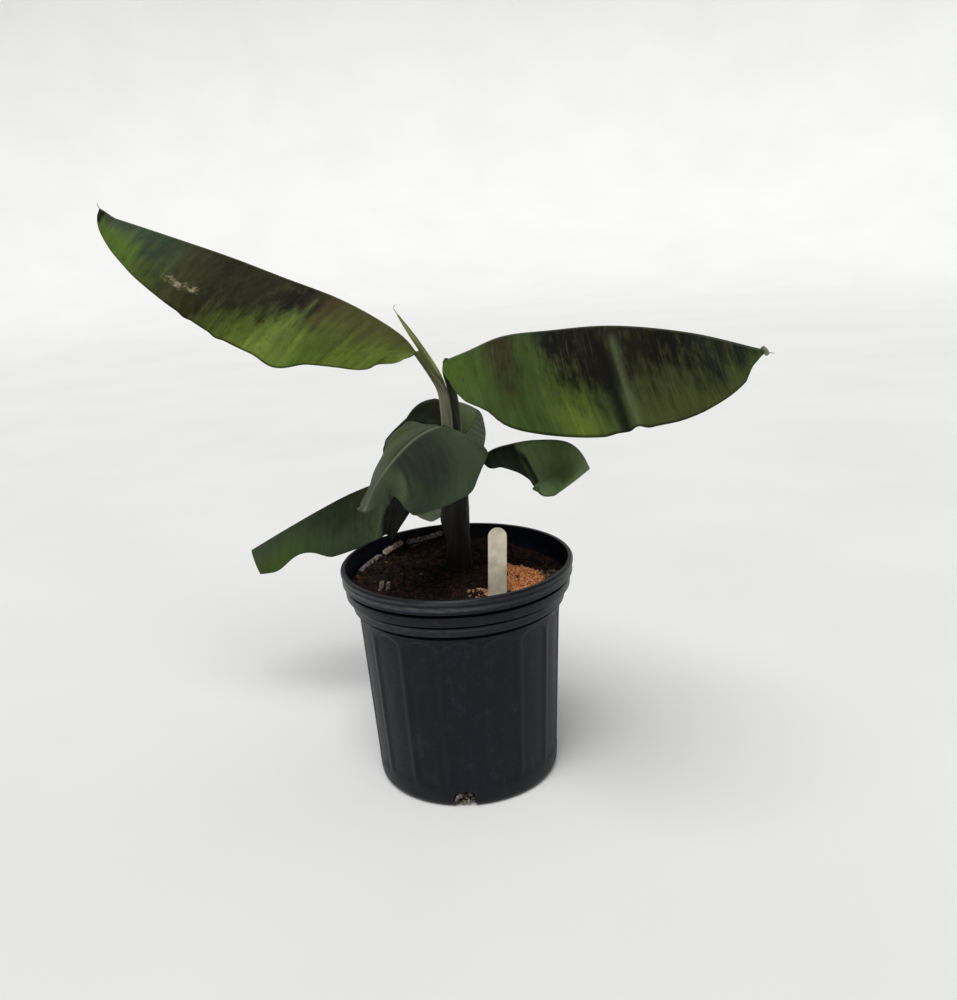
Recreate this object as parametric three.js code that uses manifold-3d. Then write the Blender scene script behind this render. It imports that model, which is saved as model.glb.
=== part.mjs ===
// Young banana plant in a round black nursery pot.
// Millimetres, +Z up. The origin is the centre of the pot's flat underside, and -Y is the front.
import * as THREE from 'three';
import Module from 'manifold-3d';
import { mergeVertices } from 'three/addons/utils/BufferGeometryUtils.js';

const wasm = await Module();
wasm.setup();

// Clearance between neighbouring pieces
const GAP = 0.3;

// Pot
const POT_HEIGHT = 164;
const RIM_RADIUS = 84;
const BODY_TOP_RADIUS = 73.4;
const BODY_TOP_Z = 131.6;
const BASE_RADIUS = 66.6;
const BASE_ROUND = 6;
const WALL = 1.6;
const FLOOR = 2.2;
const CORNER = 5;
const CORNER_Z = 10;
const POT_SEGMENTS = 64;
const FLUTES = 16;
const FLUTE_DEPTH = 1.1;
const FLUTE_FOOT_Z = 12;
const DRAIN_HOLES = 4;
const DRAIN_WIDTH = 15;
const DRAIN_DEPTH = 20;
const DRAIN_TOP_Z = 13;
const DRAIN_TURN = -3;

// Potting mix
const SOIL_Z = 151;
const SOIL_SHOULDER_Z = 136;
const SOIL_EDGE = 78;
const SOIL_RINGS = 6;
const SOIL_SWELLS = [{ x: 52, y: 38, radius: 34, height: -11 }, { x: -10, y: 70, radius: 45, height: 4 }];
const SOCKET_HEIGHT = 20;

// Plant label, a flat strip with a round top pushed into the mix
const LABEL = { width: 12.7, thickness: 1, length: 100, x: 30, y: -45, topZ: 200, pointLength: 14, lean: 3 };

// Pseudostem: centre line and radius at even steps from the cut foot to the fork
const STEM_LINE = [[1.8, 16, 149], [2, 16, 175], [3.2, 16, 200], [4.6, 16, 226], [4.4, 15.5, 252]];
const STEM_RADII = [10.6, 8.9, 8.3, 7.3, 6.7];
const STEM_SIDES = 16;

// Leaf stalks: centre line, radius at the stem and radius at the blade
const STALKS = {
  left_high: {
    line: [[-0.6, 11.4, 252.3], [-1, 12, 272], [-3, 14, 286], [-9, 16.6, 297], [-18.6, 21, 312]],
    radii: [4.1, 4, 3.6, 3, 2.9],
  },
  right_high: {
    line: [[6.2, 18, 252.3], [5.7, 18.4, 270], [3.7, 18.6, 286], [1.4, 17.4, 298], [3, 14, 306]],
    radii: [3.5, 3],
  },
  front: { line: [[4, 13, 231], [1.5, 5.6, 246], [-5, 3, 261]], radii: [3.3, 2.9] },
  back: { line: [[4.6, 17, 224], [5, 25, 238], [5, 32, 247]], radii: [3.2, 2.8] },
  right_low: { line: [[5, 14, 214], [10.4, 11.6, 222], [16, 7, 230.5]], radii: [3, 2.4] },
  left_low: { line: [[2, 18, 194], [-8, 29, 207], [-21, 40, 215]], radii: [3.2, 2.6] },
};
const STALK_SIDES = 12;
const SPEAR_SIDES = 8;

// Rolled new leaf
const SPEAR = {
  line: [[0.6, 20.6, 252.3], [-0.6, 20.4, 272], [-3.2, 21.2, 290], [-8, 22.6, 301], [-17, 25, 316],
    [-30.7, 27, 338]],
  radii: [2.2, 2.4, 2.4, 2.2, 1.9, 0.6],
};

// Blades. The rib runs from the stalk to the tip. A half is as wide as width at the place peak along the
// rib, and hangs below level by the angles atRib and atMargin, from the foot to the tip. reach under 1 cuts
// the tip blunt, and sweep draws the margin forward. near is the half on the side of the rib that nearSide
// names, seen along the rib from the stalk. A lobe is [place along the rib, half length, share of the half
// width that it adds], and where it adds less than nothing it is torn or pinched out of the margin.
const BLADES = {
  left_high: {
    rib: [[-18.6, 21, 312], [-26, 24, 322], [-43, 29, 335], [-71, 36, 351], [-110, 47, 367],
      [-149, 58, 383], [-200, 70, 402], [-244, 80, 418]],
    width: 62, peak: 0.39, fullness: 0.54, reach: 1, nearSide: 'left', sweep: 0.1,
    near: {
      atRib: [50, 42, 42], atMargin: [80, 76, 75], lobes: [[0.14, 0.25, -0.15], [0.325, 0.09, 0.07]],
    },
    far: { atRib: [40, 40, 40], atMargin: [70, 66, 60] },
  },
  right_high: {
    rib: [[2, 14, 307], [16, 0, 314], [39, -25, 326], [69, -60, 333], [102, -100, 339],
      [139, -148, 339], [169, -191, 334]],
    width: 72, peak: 0.53, fullness: 0.41, reach: 1, nearSide: 'right', sweep: 0.1,
    near: { atRib: [50, 42, 40], atMargin: [80, 76, 72], lobes: [[0.8, 0.1, -0.05]] },
    far: { atRib: [40, 45, 60], atMargin: [70, 75, 88], lobes: [[1, 0.75, -0.4]] },
  },
  front: {
    rib: [[-5, 3, 262], [-13, -18, 264], [-24, -45, 263], [-35, -75, 258], [-44, -100, 251],
      [-51, -116, 239]],
    width: 56, peak: 0.24, fullness: 0.55, reach: 1, nearSide: 'left', sweep: 0.1,
    near: {
      atRib: [5, 17, 60],
      atMargin: [33, 93, 94],
      lobes: [[0.146, 0.197, -0.136], [0.778, 0.067, -0.4], [0.974, 0.28, -0.55]],
    },
    far: { atRib: [-11, 19, 56], atMargin: [11, 88, 32], lobes: [[0.13, 0.33, -0.41], [1, 0.4, -0.23]] },
  },
  back: {
    rib: [[5, 32, 247], [1, 48, 263], [-6, 64, 269], [-13, 84, 260], [-18, 106, 228], [-22, 120, 187],
      [-22, 126, 154]],
    width: 45, peak: 0.5, fullness: 0.7, reach: 1, nearSide: 'left', sweep: 0.1,
    near: { atRib: [-16, -5, 40], atMargin: [86, 47, 55], lobes: [[0.37, 0.2, -0.1], [0.33, 0.12, -0.28]] },
    far: { atRib: [10, 10, 20], atMargin: [35, 35, 40] },
  },
  right_low: {
    rib: [[16, 7, 230.5], [28, -4, 244], [42, -18, 251.3], [59, -32, 256.4], [79, -46, 257], [88, -52, 250],
      [93, -54, 240]],
    width: 45, peak: 0.76, fullness: 0.5, reach: 0.82, nearSide: 'right', sweep: 0.1,
    near: {
      atRib: [42, 46, 6],
      atMargin: [88, 89, 24],
      lobes: [[0.21, 0.1, 0.38], [0.655, 0.144, 0.08], [0.96, 0.062, 0.26]],
    },
    far: { atRib: [42, 29, 27], atMargin: [43, 15, 63], lobes: [[0.09, 0.2, 0.17], [1, 0.6, -0.93]] },
  },
  left_low: {
    rib: [[-21, 40, 215], [-41, 62, 210], [-61, 77, 203], [-84, 86, 193], [-109, 92, 180], [-140, 97, 163],
      [-170, 101, 146]],
    width: 44, peak: 0.36, fullness: 0.5, reach: 0.88, nearSide: 'left', sweep: 0.2,
    near: {
      atRib: [50, 62, 44, 42],
      atMargin: [74, 90, 76, 75],
      lobes: [[0.1, 0.12, 0.28], [0.16, 0.1, 0.14], [0.77, 0.17, -0.28]],
    },
    far: { atRib: [35, 35, 35], atMargin: [60, 60, 60] },
  },
};
const BLADE_STEPS = 22;
const BLADE_COLUMNS = [0.35, 0.67, 1];
const BLADE_THICKNESS = 2.8;
const BLADE_FOOT_HALF_WIDTH = 4.6;
const BLADE_TIP_HALF_WIDTH = 1.6;
const RIB_HALF_WIDTH = 4.6;
const RIB_DEPTH = 3.2;
const FLAT_BELOW_WIDTH = 18;

const COLOURS = {
  pot: { color: 0x23262b, roughness: 0.5, metalness: 0 },
  soil: { color: 0x3b2a1f, roughness: 0.95, metalness: 0 },
  label: { color: 0xe9e6da, roughness: 0.45, metalness: 0 },
  stem: { color: 0x2f3320, roughness: 0.6, metalness: 0 },
  stalk: { color: 0x5c6a45, roughness: 0.55, metalness: 0 },
  leaf: { color: 0x3a5a2a, roughness: 0.55, metalness: 0 },
};

const plant = new THREE.Group();

function toSolid(geometry) {
  const bare = geometry.clone();
  bare.deleteAttribute('normal');
  bare.deleteAttribute('uv');
  const merged = mergeVertices(bare, 1e-3);
  return new wasm.Manifold(new wasm.Mesh({
    numProp: 3,
    vertProperties: new Float32Array(merged.attributes.position.array),
    triVerts: new Uint32Array(merged.index.array),
  }));
}

function toGeometry(solid) {
  const mesh = solid.getMesh();
  const geometry = new THREE.BufferGeometry();
  geometry.setAttribute('position', new THREE.BufferAttribute(mesh.vertProperties, 3));
  geometry.setIndex(new THREE.BufferAttribute(mesh.triVerts, 1));
  geometry.computeVertexNormals();
  return geometry;
}

function addPiece(name, solid, look) {
  const mesh = new THREE.Mesh(toGeometry(solid), new THREE.MeshStandardMaterial(look));
  mesh.name = name;
  plant.add(mesh);
}

function curveThrough(points) {
  return new THREE.CatmullRomCurve3(points.map((p) => new THREE.Vector3(...p)), false, 'centripetal');
}

// Value at t from 0 to 1 on a smooth line through evenly spaced values
function smoothValue(values, t) {
  const last = values.length - 1;
  const place = THREE.MathUtils.clamp(t, 0, 1) * last;
  const i = Math.min(Math.floor(place), last - 1);
  const w = place - i;
  const a = i > 0 ? values[i - 1] : 2 * values[0] - values[1];
  const b = values[i];
  const c = values[i + 1];
  const d = i + 2 <= last ? values[i + 2] : 2 * values[last] - values[last - 1];
  return b + 0.5 * w * (c - a + w * (2 * a - 5 * b + 4 * c - d + w * (3 * (b - c) + d - a)));
}

// Smooth rise from 0 at a distance of 1 to 1 at the middle
function bump(distance) {
  const q = Math.min(1, distance);
  return (1 - q * q) ** 2;
}

// Turned solid from a closed outline of [radius, z] pairs
function turned(outline, segments) {
  return new THREE.LatheGeometry(outline.map(([r, z]) => new THREE.Vector2(r, z)), segments)
    .rotateX(Math.PI / 2);
}

// A limb: a cylinder bent along a curve, with a radius that follows its length.
// grow makes it fatter and longer all round, for the room that a neighbour leaves free.
function limb(line, radii, sides, grow = 0) {
  const curve = curveThrough(line);
  const steps = 4 * (line.length - 1);
  const frames = curve.computeFrenetFrames(steps, false);
  const geometry = new THREE.CylinderGeometry(1, 1, 1, sides, steps);
  const position = geometry.attributes.position;
  for (let i = 0; i < position.count; i += 1) {
    const t = THREE.MathUtils.clamp(position.getY(i) + 0.5, 0, 1);
    const step = Math.round(t * steps);
    const radius = smoothValue(radii, t) + grow;
    const point = curve.getPointAt(t);
    if (step === 0 || step === steps) {
      point.addScaledVector(frames.tangents[step], step === 0 ? -grow : grow);
    }
    point.addScaledVector(frames.normals[step], position.getX(i) * radius);
    point.addScaledVector(frames.binormals[step], -position.getZ(i) * radius);
    position.setXYZ(i, point.x, point.y, point.z);
  }
  return toSolid(geometry);
}

// Half width of a blade at t along its rib
function halfWidth(blade, t) {
  const power = Math.log(0.5) / Math.log(blade.peak);
  const along = Math.sin(Math.PI * (t * blade.reach) ** power);
  const share = Math.max(along, 0) ** blade.fullness;
  const end = THREE.MathUtils.lerp(BLADE_FOOT_HALF_WIDTH, BLADE_TIP_HALF_WIDTH, t);
  return end + (blade.width - end) * share;
}

// Share of the half width at t once the lobes of the margin are counted
function lobed(half, t) {
  const added = (half.lobes ?? []).map(([at, span, share]) => share * bump(Math.abs(t - at) / span));
  return added.reduce((sum, share) => sum + share, 1);
}

// Place on the upper face of a blade half and the face's outward direction there.
// s runs from 0 at the rib to 1 at the margin, and side is +1 right of the rib, -1 left of it.
function bladePoint(blade, frame, side, s) {
  const half = side === (blade.nearSide === 'right' ? 1 : -1) ? blade.near : blade.far;
  const flatten = Math.min(1, frame.width / FLAT_BELOW_WIDTH);
  const start = THREE.MathUtils.degToRad(smoothValue(half.atRib, frame.t)) * flatten;
  const end = THREE.MathUtils.degToRad(smoothValue(half.atMargin, frame.t)) * flatten;
  const turn = (end - start) * s;
  const angle = start + turn;
  const span = frame.width * lobed(half, frame.t) * s;
  const out = Math.abs(turn) < 1e-6 ? Math.cos(start) : (Math.sin(angle) - Math.sin(start)) / turn;
  const down = Math.abs(turn) < 1e-6 ? Math.sin(start) : (Math.cos(start) - Math.cos(angle)) / turn;
  const point = frame.rib.clone()
    .addScaledVector(frame.across, side * span * out)
    .addScaledVector(frame.up, -span * down)
    .addScaledVector(frame.along, blade.sweep * (1 - frame.t ** 2) * (span - BLADE_FOOT_HALF_WIDTH * s));
  const face = frame.up.clone().multiplyScalar(Math.cos(angle))
    .addScaledVector(frame.across, side * Math.sin(angle));
  return { point, face, start };
}

function bladeFrame(blade, curve, t) {
  const along = curve.getTangentAt(t);
  const across = along.clone().cross(new THREE.Vector3(0, 0, 1)).normalize();
  const up = across.clone().cross(along);
  return { t, along, across, up, rib: curve.getPointAt(t), width: halfWidth(blade, t) };
}

// A folded blade with its rib as a keel underneath: a box bent onto the leaf's faces
function bladeSolid(blade) {
  const curve = curveThrough(blade.rib);
  const perSide = BLADE_COLUMNS.length + 1;
  const geometry = new THREE.BoxGeometry(1, 1, 1, BLADE_STEPS, 2 * perSide, 1);
  const position = geometry.attributes.position;
  for (let i = 0; i < position.count; i += 1) {
    const step = Math.round((position.getX(i) + 0.5) * BLADE_STEPS);
    const t = 0.5 - 0.5 * Math.cos((Math.PI * step) / BLADE_STEPS);
    const frame = bladeFrame(blade, curve, t);
    const column = Math.round(position.getY(i) * 2 * perSide);
    const side = column > 0 ? -1 : 1;
    const rank = Math.abs(column);
    const ribEdge = Math.min(RIB_HALF_WIDTH / frame.width, 0.25);
    const s = [0, ribEdge, ...BLADE_COLUMNS][rank];
    const { point, face, start } = bladePoint(blade, frame, side, s);
    if (position.getZ(i) < 0 && rank === 0) {
      const keel = RIB_DEPTH * (1 - t) + BLADE_THICKNESS / Math.cos(start);
      point.addScaledVector(frame.up, -keel);
    } else if (position.getZ(i) < 0) {
      point.addScaledVector(face, -BLADE_THICKNESS);
    }
    position.setXYZ(i, point.x, point.y, point.z);
  }
  return toSolid(geometry);
}

function soilHeight(x, y) {
  let z = SOIL_Z;
  for (const swell of SOIL_SWELLS) {
    z += swell.height * bump(Math.hypot(x - swell.x, y - swell.y) / swell.radius);
  }
  return z;
}

function bodyRadius(z) {
  return BASE_RADIUS + ((BODY_TOP_RADIUS - BASE_RADIUS) * z) / BODY_TOP_Z;
}

// Outside of the pot from the centre of the underside to the lip
function potOutside() {
  const roundCentre = bodyRadius(BASE_ROUND) - BASE_ROUND;
  const corner = [0, Math.PI / 4, Math.PI / 2].map((angle) => (
    [roundCentre + BASE_ROUND * Math.sin(angle), BASE_ROUND * (1 - Math.cos(angle))]));
  const body = [FLUTE_FOOT_Z, 24, 50, 80, 110, 121, BODY_TOP_Z].map((z) => [bodyRadius(z), z]);
  const lowerBand = [[76.6, 134.8], [77.2, 137], [77.8, 143.4]];
  const upperBand = [[81.2, 144.9], [81.8, 150.8], [80.8, 152], [82.6, 153.8]];
  const lip = [[82.6, 157.4], [RIM_RADIUS, 158.6], [RIM_RADIUS, POT_HEIGHT - 1],
    [RIM_RADIUS - 1, POT_HEIGHT]];
  return [[0, 0], ...corner, ...body, ...lowerBand, ...upperBand, ...lip];
}

// Inside of the pot from the lip down to the floor
const INSIDE = [[80.4, POT_HEIGHT], [79.6, 152], [75.2, SOIL_SHOULDER_Z],
  [BODY_TOP_RADIUS - WALL, BODY_TOP_Z], [BASE_RADIUS - FLUTE_DEPTH - WALL, CORNER_Z],
  [BASE_RADIUS - FLUTE_DEPTH - WALL - CORNER, FLOOR], [0, FLOOR]];

function insideRadius(z) {
  const i = INSIDE.findIndex(([, low]) => low <= z);
  const [upperRadius, upperZ] = INSIDE[Math.max(i - 1, 0)];
  const [lowerRadius, lowerZ] = INSIDE[i];
  return THREE.MathUtils.mapLinear(z, lowerZ, upperZ, lowerRadius, upperRadius);
}

// Shallow upright flutes that fade out at an arched top and above the foot
function pressFlutes(geometry) {
  const position = geometry.attributes.position;
  for (let i = 0; i < position.count; i += 1) {
    const x = position.getX(i);
    const y = position.getY(i);
    const z = position.getZ(i);
    const radius = Math.hypot(x, y);
    const outside = radius > bodyRadius(z) - WALL / 2;
    if (outside && z > FLUTE_FOOT_Z && z < BODY_TOP_Z) {
      const wave = 0.5 + 0.5 * Math.cos(Math.atan2(y, x) * FLUTES);
      const scale = (radius - FLUTE_DEPTH * wave) / radius;
      position.setXY(i, x * scale, y * scale);
    }
  }
  return geometry;
}

function addPot() {
  let pot = toSolid(pressFlutes(turned([...potOutside(), ...INSIDE], POT_SEGMENTS)));
  for (let i = 0; i < DRAIN_HOLES; i += 1) {
    const hole = new THREE.BoxGeometry(DRAIN_WIDTH, DRAIN_DEPTH, 2 * DRAIN_TOP_Z)
      .translate(0, -BASE_RADIUS, 0)
      .rotateZ(THREE.MathUtils.degToRad(DRAIN_TURN + (i * 360) / DRAIN_HOLES));
    pot = pot.subtract(toSolid(hole));
  }
  addPiece('pot', pot, COLOURS.pot);
}

function labelOutline(grow) {
  const half = LABEL.width / 2 + grow;
  const shape = new THREE.Shape();
  const pointSlope = LABEL.pointLength / (LABEL.width / 2);
  shape.moveTo(0, LABEL.topZ - LABEL.length - grow * Math.hypot(1, pointSlope));
  shape.lineTo(half, LABEL.topZ - LABEL.length + LABEL.pointLength);
  shape.lineTo(half, LABEL.topZ - LABEL.width / 2);
  shape.absarc(0, LABEL.topZ - LABEL.width / 2, half, 0, Math.PI, false);
  shape.lineTo(-half, LABEL.topZ - LABEL.length + LABEL.pointLength);
  shape.closePath();
  return shape;
}

function labelSolid(grow) {
  const depth = LABEL.thickness + 2 * grow;
  const settings = { depth, bevelEnabled: false, curveSegments: 10 };
  const strip = new THREE.ExtrudeGeometry(labelOutline(grow), settings)
    .rotateX(Math.PI / 2)
    .translate(0, depth / 2, -LABEL.topZ)
    .rotateY(THREE.MathUtils.degToRad(LABEL.lean))
    .translate(LABEL.x, LABEL.y, LABEL.topZ);
  return toSolid(strip);
}

// The mix fills the pot to just under the rim, with a socket for the stem's foot and one for the label
function addSoil() {
  const wall = INSIDE.filter(([r, z]) => r > 0 && z <= SOIL_SHOULDER_Z)
    .map(([r, z]) => [r - GAP, Math.max(z, FLOOR + GAP)])
    .reverse();
  const rings = [];
  for (let i = SOIL_RINGS; i >= 0; i -= 1) {
    rings.push([(SOIL_EDGE * i) / SOIL_RINGS, SOIL_Z]);
  }
  const geometry = turned([[0, FLOOR + GAP], ...wall, ...rings], POT_SEGMENTS / 2);
  const position = geometry.attributes.position;
  for (let i = 0; i < position.count; i += 1) {
    if (position.getZ(i) > SOIL_SHOULDER_Z) {
      const x = position.getX(i);
      const y = position.getY(i);
      const radius = Math.hypot(x, y);
      const height = soilHeight(x, y);
      const scale = radius > SOIL_EDGE - 1 ? (insideRadius(height) - GAP) / radius : 1;
      position.setXYZ(i, x * scale, y * scale, height);
    }
  }
  const [footX, footY, footZ] = STEM_LINE[0];
  const socketRadius = STEM_RADII[0] + GAP;
  const socket = new THREE.CylinderGeometry(socketRadius, socketRadius, SOCKET_HEIGHT, STEM_SIDES)
    .rotateX(Math.PI / 2)
    .translate(footX, footY, footZ - GAP + SOCKET_HEIGHT / 2);
  const solid = toSolid(geometry).subtract(toSolid(socket)).subtract(labelSolid(GAP));
  addPiece('soil', solid, COLOURS.soil);
}

function leaveRoom(solid, rooms) {
  return rooms.reduce((rest, room) => rest.subtract(room), solid);
}

// Each stalk and the rolled leaf leave room for the stem and for the stalks listed before them
function addStalks() {
  const taken = [limb(STEM_LINE, STEM_RADII, STEM_SIDES, GAP)];
  for (const [name, { line, radii }] of Object.entries(STALKS)) {
    addPiece(`stalk_${name}`, leaveRoom(limb(line, radii, STALK_SIDES), taken), COLOURS.stalk);
    taken.push(limb(line, radii, STALK_SIDES, GAP));
  }
  const spear = limb(SPEAR.line, SPEAR.radii, SPEAR_SIDES);
  addPiece('spear_leaf', leaveRoom(spear, taken), COLOURS.stalk);
}

function addBlades() {
  for (const [name, blade] of Object.entries(BLADES)) {
    const { line, radii } = STALKS[name];
    const stalkRoom = limb(line, radii, STALK_SIDES, GAP);
    addPiece(`blade_${name}`, bladeSolid(blade).subtract(stalkRoom), COLOURS.leaf);
  }
}

addPot();
addSoil();
addPiece('label', labelSolid(0), COLOURS.label);
addPiece('pseudostem', limb(STEM_LINE, STEM_RADII, STEM_SIDES), COLOURS.stem);
addStalks();
addBlades();

export default plant;
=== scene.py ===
"""A young banana plant in its black nursery pot, dressed for rendering.

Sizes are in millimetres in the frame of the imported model: the origin is under the middle
of the pot, +Z is up and the camera looks along +Y. Points turn into metres where a mesh
is made. The limbs and blades follow the same lines and rules as their solids, with finer
grids, thinner sheets and the relief of veins, sheaths, crumbs and moulded plastic.
"""

import itertools
import math

import bpy
import numpy as np
from mathutils import Matrix, Vector


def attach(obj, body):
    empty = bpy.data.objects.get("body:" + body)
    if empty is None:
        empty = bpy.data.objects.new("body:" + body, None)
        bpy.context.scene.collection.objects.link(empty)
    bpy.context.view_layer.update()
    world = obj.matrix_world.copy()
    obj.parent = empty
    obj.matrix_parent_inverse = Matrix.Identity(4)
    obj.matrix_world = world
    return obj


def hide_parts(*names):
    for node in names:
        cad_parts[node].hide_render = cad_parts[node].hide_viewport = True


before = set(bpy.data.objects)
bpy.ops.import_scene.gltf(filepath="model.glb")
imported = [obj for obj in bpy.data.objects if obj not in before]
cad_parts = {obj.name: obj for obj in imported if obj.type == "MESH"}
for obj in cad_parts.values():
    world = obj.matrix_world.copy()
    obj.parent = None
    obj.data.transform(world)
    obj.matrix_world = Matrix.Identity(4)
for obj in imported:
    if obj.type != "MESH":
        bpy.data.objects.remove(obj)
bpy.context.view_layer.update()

MM = 0.001
GRAIN_UNIT = 10
UP = np.array([0.0, 0.0, 1.0])

# Camera
CAMERA_PLACE = (18.4, -732.5, 423.9)
CAMERA_ELEVATION = 16.5
CAMERA_ROLL = -3.4
CAMERA_LENS = 38.56

# Light
WORLD_STRENGTH = 0.35
KEY_STRENGTH = 2.1
KEY_ELEVATION = 62
KEY_TURN = -12
KEY_SPREAD = 35

# Pot
BODY_TOP_RADIUS = 73.4
BODY_TOP_Z = 131.6
BASE_RADIUS = 66.6
POT_SEGMENTS = 384
FLUTES = 16
FLUTE_DEPTH = 0.9
FLUTE_FOOT_Z = 14
FLUTE_TOP_Z = 130
FLUTE_ARCH = 7
FLUTE_FLAT_SHARE = 0.66
DRAIN_HOLES = 4
DRAIN_WIDTH = 15
DRAIN_DEPTH = 20
DRAIN_TOP_Z = 13
DRAIN_ARCH = 5
DRAIN_TURN = -3
DRAIN_SCRAPS = 34

# Collar of the pot: dust and a painted highlight on its bands by height, and each groove, painted dark as
# shade, with its middle and half height
COLLAR_FOOT_Z = 128
COLLAR_HEIGHT = 37
COLLAR_DUST_AND_HIGHLIGHT = [
    (135, 0), (137, 0.06), (139, 0.08), (140.2, 0.22), (141.4, 0.02), (155.4, 0), (156.8, 0.24),
    (158, 0.26), (159.4, 0.02), (160.8, 0.06), (162, 0.2), (163.2, 0), (164.2, 0.06),
]
# Grooves whose faces are painted black as shade
COLLAR_GROOVE_SHADE = [(152.3, 1.3), (142.7, 0.9), (133.9, 1.8)]

# Soil: its swells as x, y, radius and height, and its lumps as height, size and seed
SOIL_Z = 151
SOIL_EDGE = 78
SOIL_FOOT_Z = 3
SOIL_SINK = 0.8
SOIL_RINGS = 78
SOIL_SIDES = 300
CRUMB_SHOULDER = 0.66
SOIL_WALL = [(76.8, 149), (74.4, 137), (70.9, 128.5), (62.8, 10), (58, SOIL_FOOT_Z), (1, SOIL_FOOT_Z)]
SOIL_SWELLS = [(52, 38, 34, -11), (-10, 70, 45, 4)]
SOIL_LUMPS = [(1.3, 9, 1), (0.9, 4, 2), (0.5, 1.8, 3)]
COIR_PATCH = [(36, 34), (43, 22), (53, 3), (63, -13), (58, -36), (49, -41), (36, -38), (34, -4)]

# Bark: the line of each strip, its half thickness and half width, and how rough it is
BARK_SIDE = (0.5, -0.5, 0.6)
BARK_STRIPS = [
    ([(-57.5, 49.6, 154), (-50, 57, 156), (-42.3, 63.2, 158)], (0.8, 2.2), 0.14),
    ([(-40, 65, 156.4), (-26.3, 71.4, 157), (-10.6, 75.2, 159.8)], (0.8, 2.1), 0.2),
    ([(-37.6, 66.2, 152), (-24, 72, 152.6), (-11, 75.2, 153)], (0.8, 1.3), 0.25),
    ([(-73.5, 20, 150.6), (-65.2, 39, 152), (-58, 49, 153.4)], (0.8, 1.7), 0.25),
    ([(-55, -20, 149), (-53.5, -20.5, 154), (-53, -20.5, 158)], (0.8, 1.8), 0.3),
    ([(-50, -21, 149), (-49, -21, 154), (-48, -21, 157)], (0.7, 1.5), 0.3),
]

# Stem, stalks and spear: their lines, and their radii at even steps
SHEATHS = 3
SHEATH_STEP = 0.9
SHEATH_FLARE = 4.6
LIMB_SIDE = (0.2, 1, 0.3)
STEM_LINE = [[1.8, 16, 149], [2, 16, 175], [3.2, 16, 200], [4.6, 16, 226], [4.4, 15.5, 252]]
STEM_RADII = [10.6, 8.9, 8.3, 7.3, 6.7]
STALKS = {
    "left_high": (
        [[-0.6, 11.4, 252.3], [-1, 12, 272], [-3, 14, 286], [-9, 16.6, 297], [-18.6, 21, 312]],
        [4.1, 4, 3.6, 3, 2.9],
    ),
    "right_high": (
        [[6.2, 18, 252.3], [5.7, 18.4, 270], [3.7, 18.6, 286], [1.4, 17.4, 298], [3, 14, 306]],
        [3.5, 3],
    ),
    "front": ([[4, 13, 231], [1.5, 5.6, 246], [-5, 3, 261]], [3.3, 2.9]),
    "back": ([[4.6, 17, 224], [5, 25, 238], [5, 32, 247]], [3.2, 2.8]),
    "right_low": ([[5, 14, 214], [10.4, 11.6, 222], [16, 7, 230.5]], [3, 2.4]),
    "left_low": ([[2, 18, 194], [-8, 29, 207], [-21, 40, 215]], [3.2, 2.6]),
}
SPEAR_LINE = [
    [0.6, 20.6, 252.3], [-0.6, 20.4, 272], [-3.2, 21.2, 290],
    [-8, 22.6, 301], [-17, 25, 316], [-30.7, 27, 338],
]
SPEAR_RADII = [2.2, 2.4, 2.4, 2.2, 1.9, 0.6]

# Dried threads at the tips, each with the radius at its foot, and the dried tip of the right high blade
DRY_THREADS = [
    ([(-243.6, 80, 420.4), (-245.4, 80, 423), (-245.6, 80, 425.6)], 0.45),
    ([(168.6, -190.6, 333.6), (171, -191, 332.4), (173.4, -191, 332)], 0.4),
    ([(-30.2, 27, 337), (-31.8, 27, 340), (-33, 27, 342.4), (-32.4, 27, 344.6), (-30.6, 27, 344.8)], 0.4),
]
DRY_TIP = ([(167, -189.6, 335.4), (168.8, -191, 333.4), (169.6, -191.4, 331)], (0.4, 1.3), 0.1)

# Blades
BLADE_FOOT_HALF_WIDTH = 4.6
BLADE_TIP_HALF_WIDTH = 1.6
RIB_HALF_WIDTH = 4.6
RIB_DEPTH = 3.2
FLAT_BELOW_WIDTH = 18
SHEET_THICKNESS = 0.7
ROW_SPACING = 1.3
HALF_COLUMNS = 22
PLEAT_SPACING = 7.5
PLEAT_HEIGHT = 0.28
MARGIN_WAVE = 1.1
SCAR_REACH = 6
FOLD_FADE = 14
GROOVE_DEPTH = 0.7
GROOVE_HALF_WIDTH = 2.2
RIDGE_HEIGHT = 0.35
RIDGE_PLACE = 3.4
RIDGE_HALF_WIDTH = 1.8


def half_blade(at_rib, at_margin, *lobes):
    """One half of a blade: the degrees that its sheet hangs by the rib and at the margin, at even
    steps along the blade, and lobes of its outline, each with its place, span and change of width."""
    return {"at_rib": at_rib, "at_margin": at_margin, "lobes": lobes}


def sheet_fold(start, slope, height, half, mark, end=200):
    """A fold of the sheet: where it leaves the rib, its slant, height and half width, how strong the
    painted shadow in its valley or the painted sheen on its ridge is, and how far from the rib it ends."""
    return {"start": start, "slope": slope, "height": height, "half": half, "mark": mark, "end": end}


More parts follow.
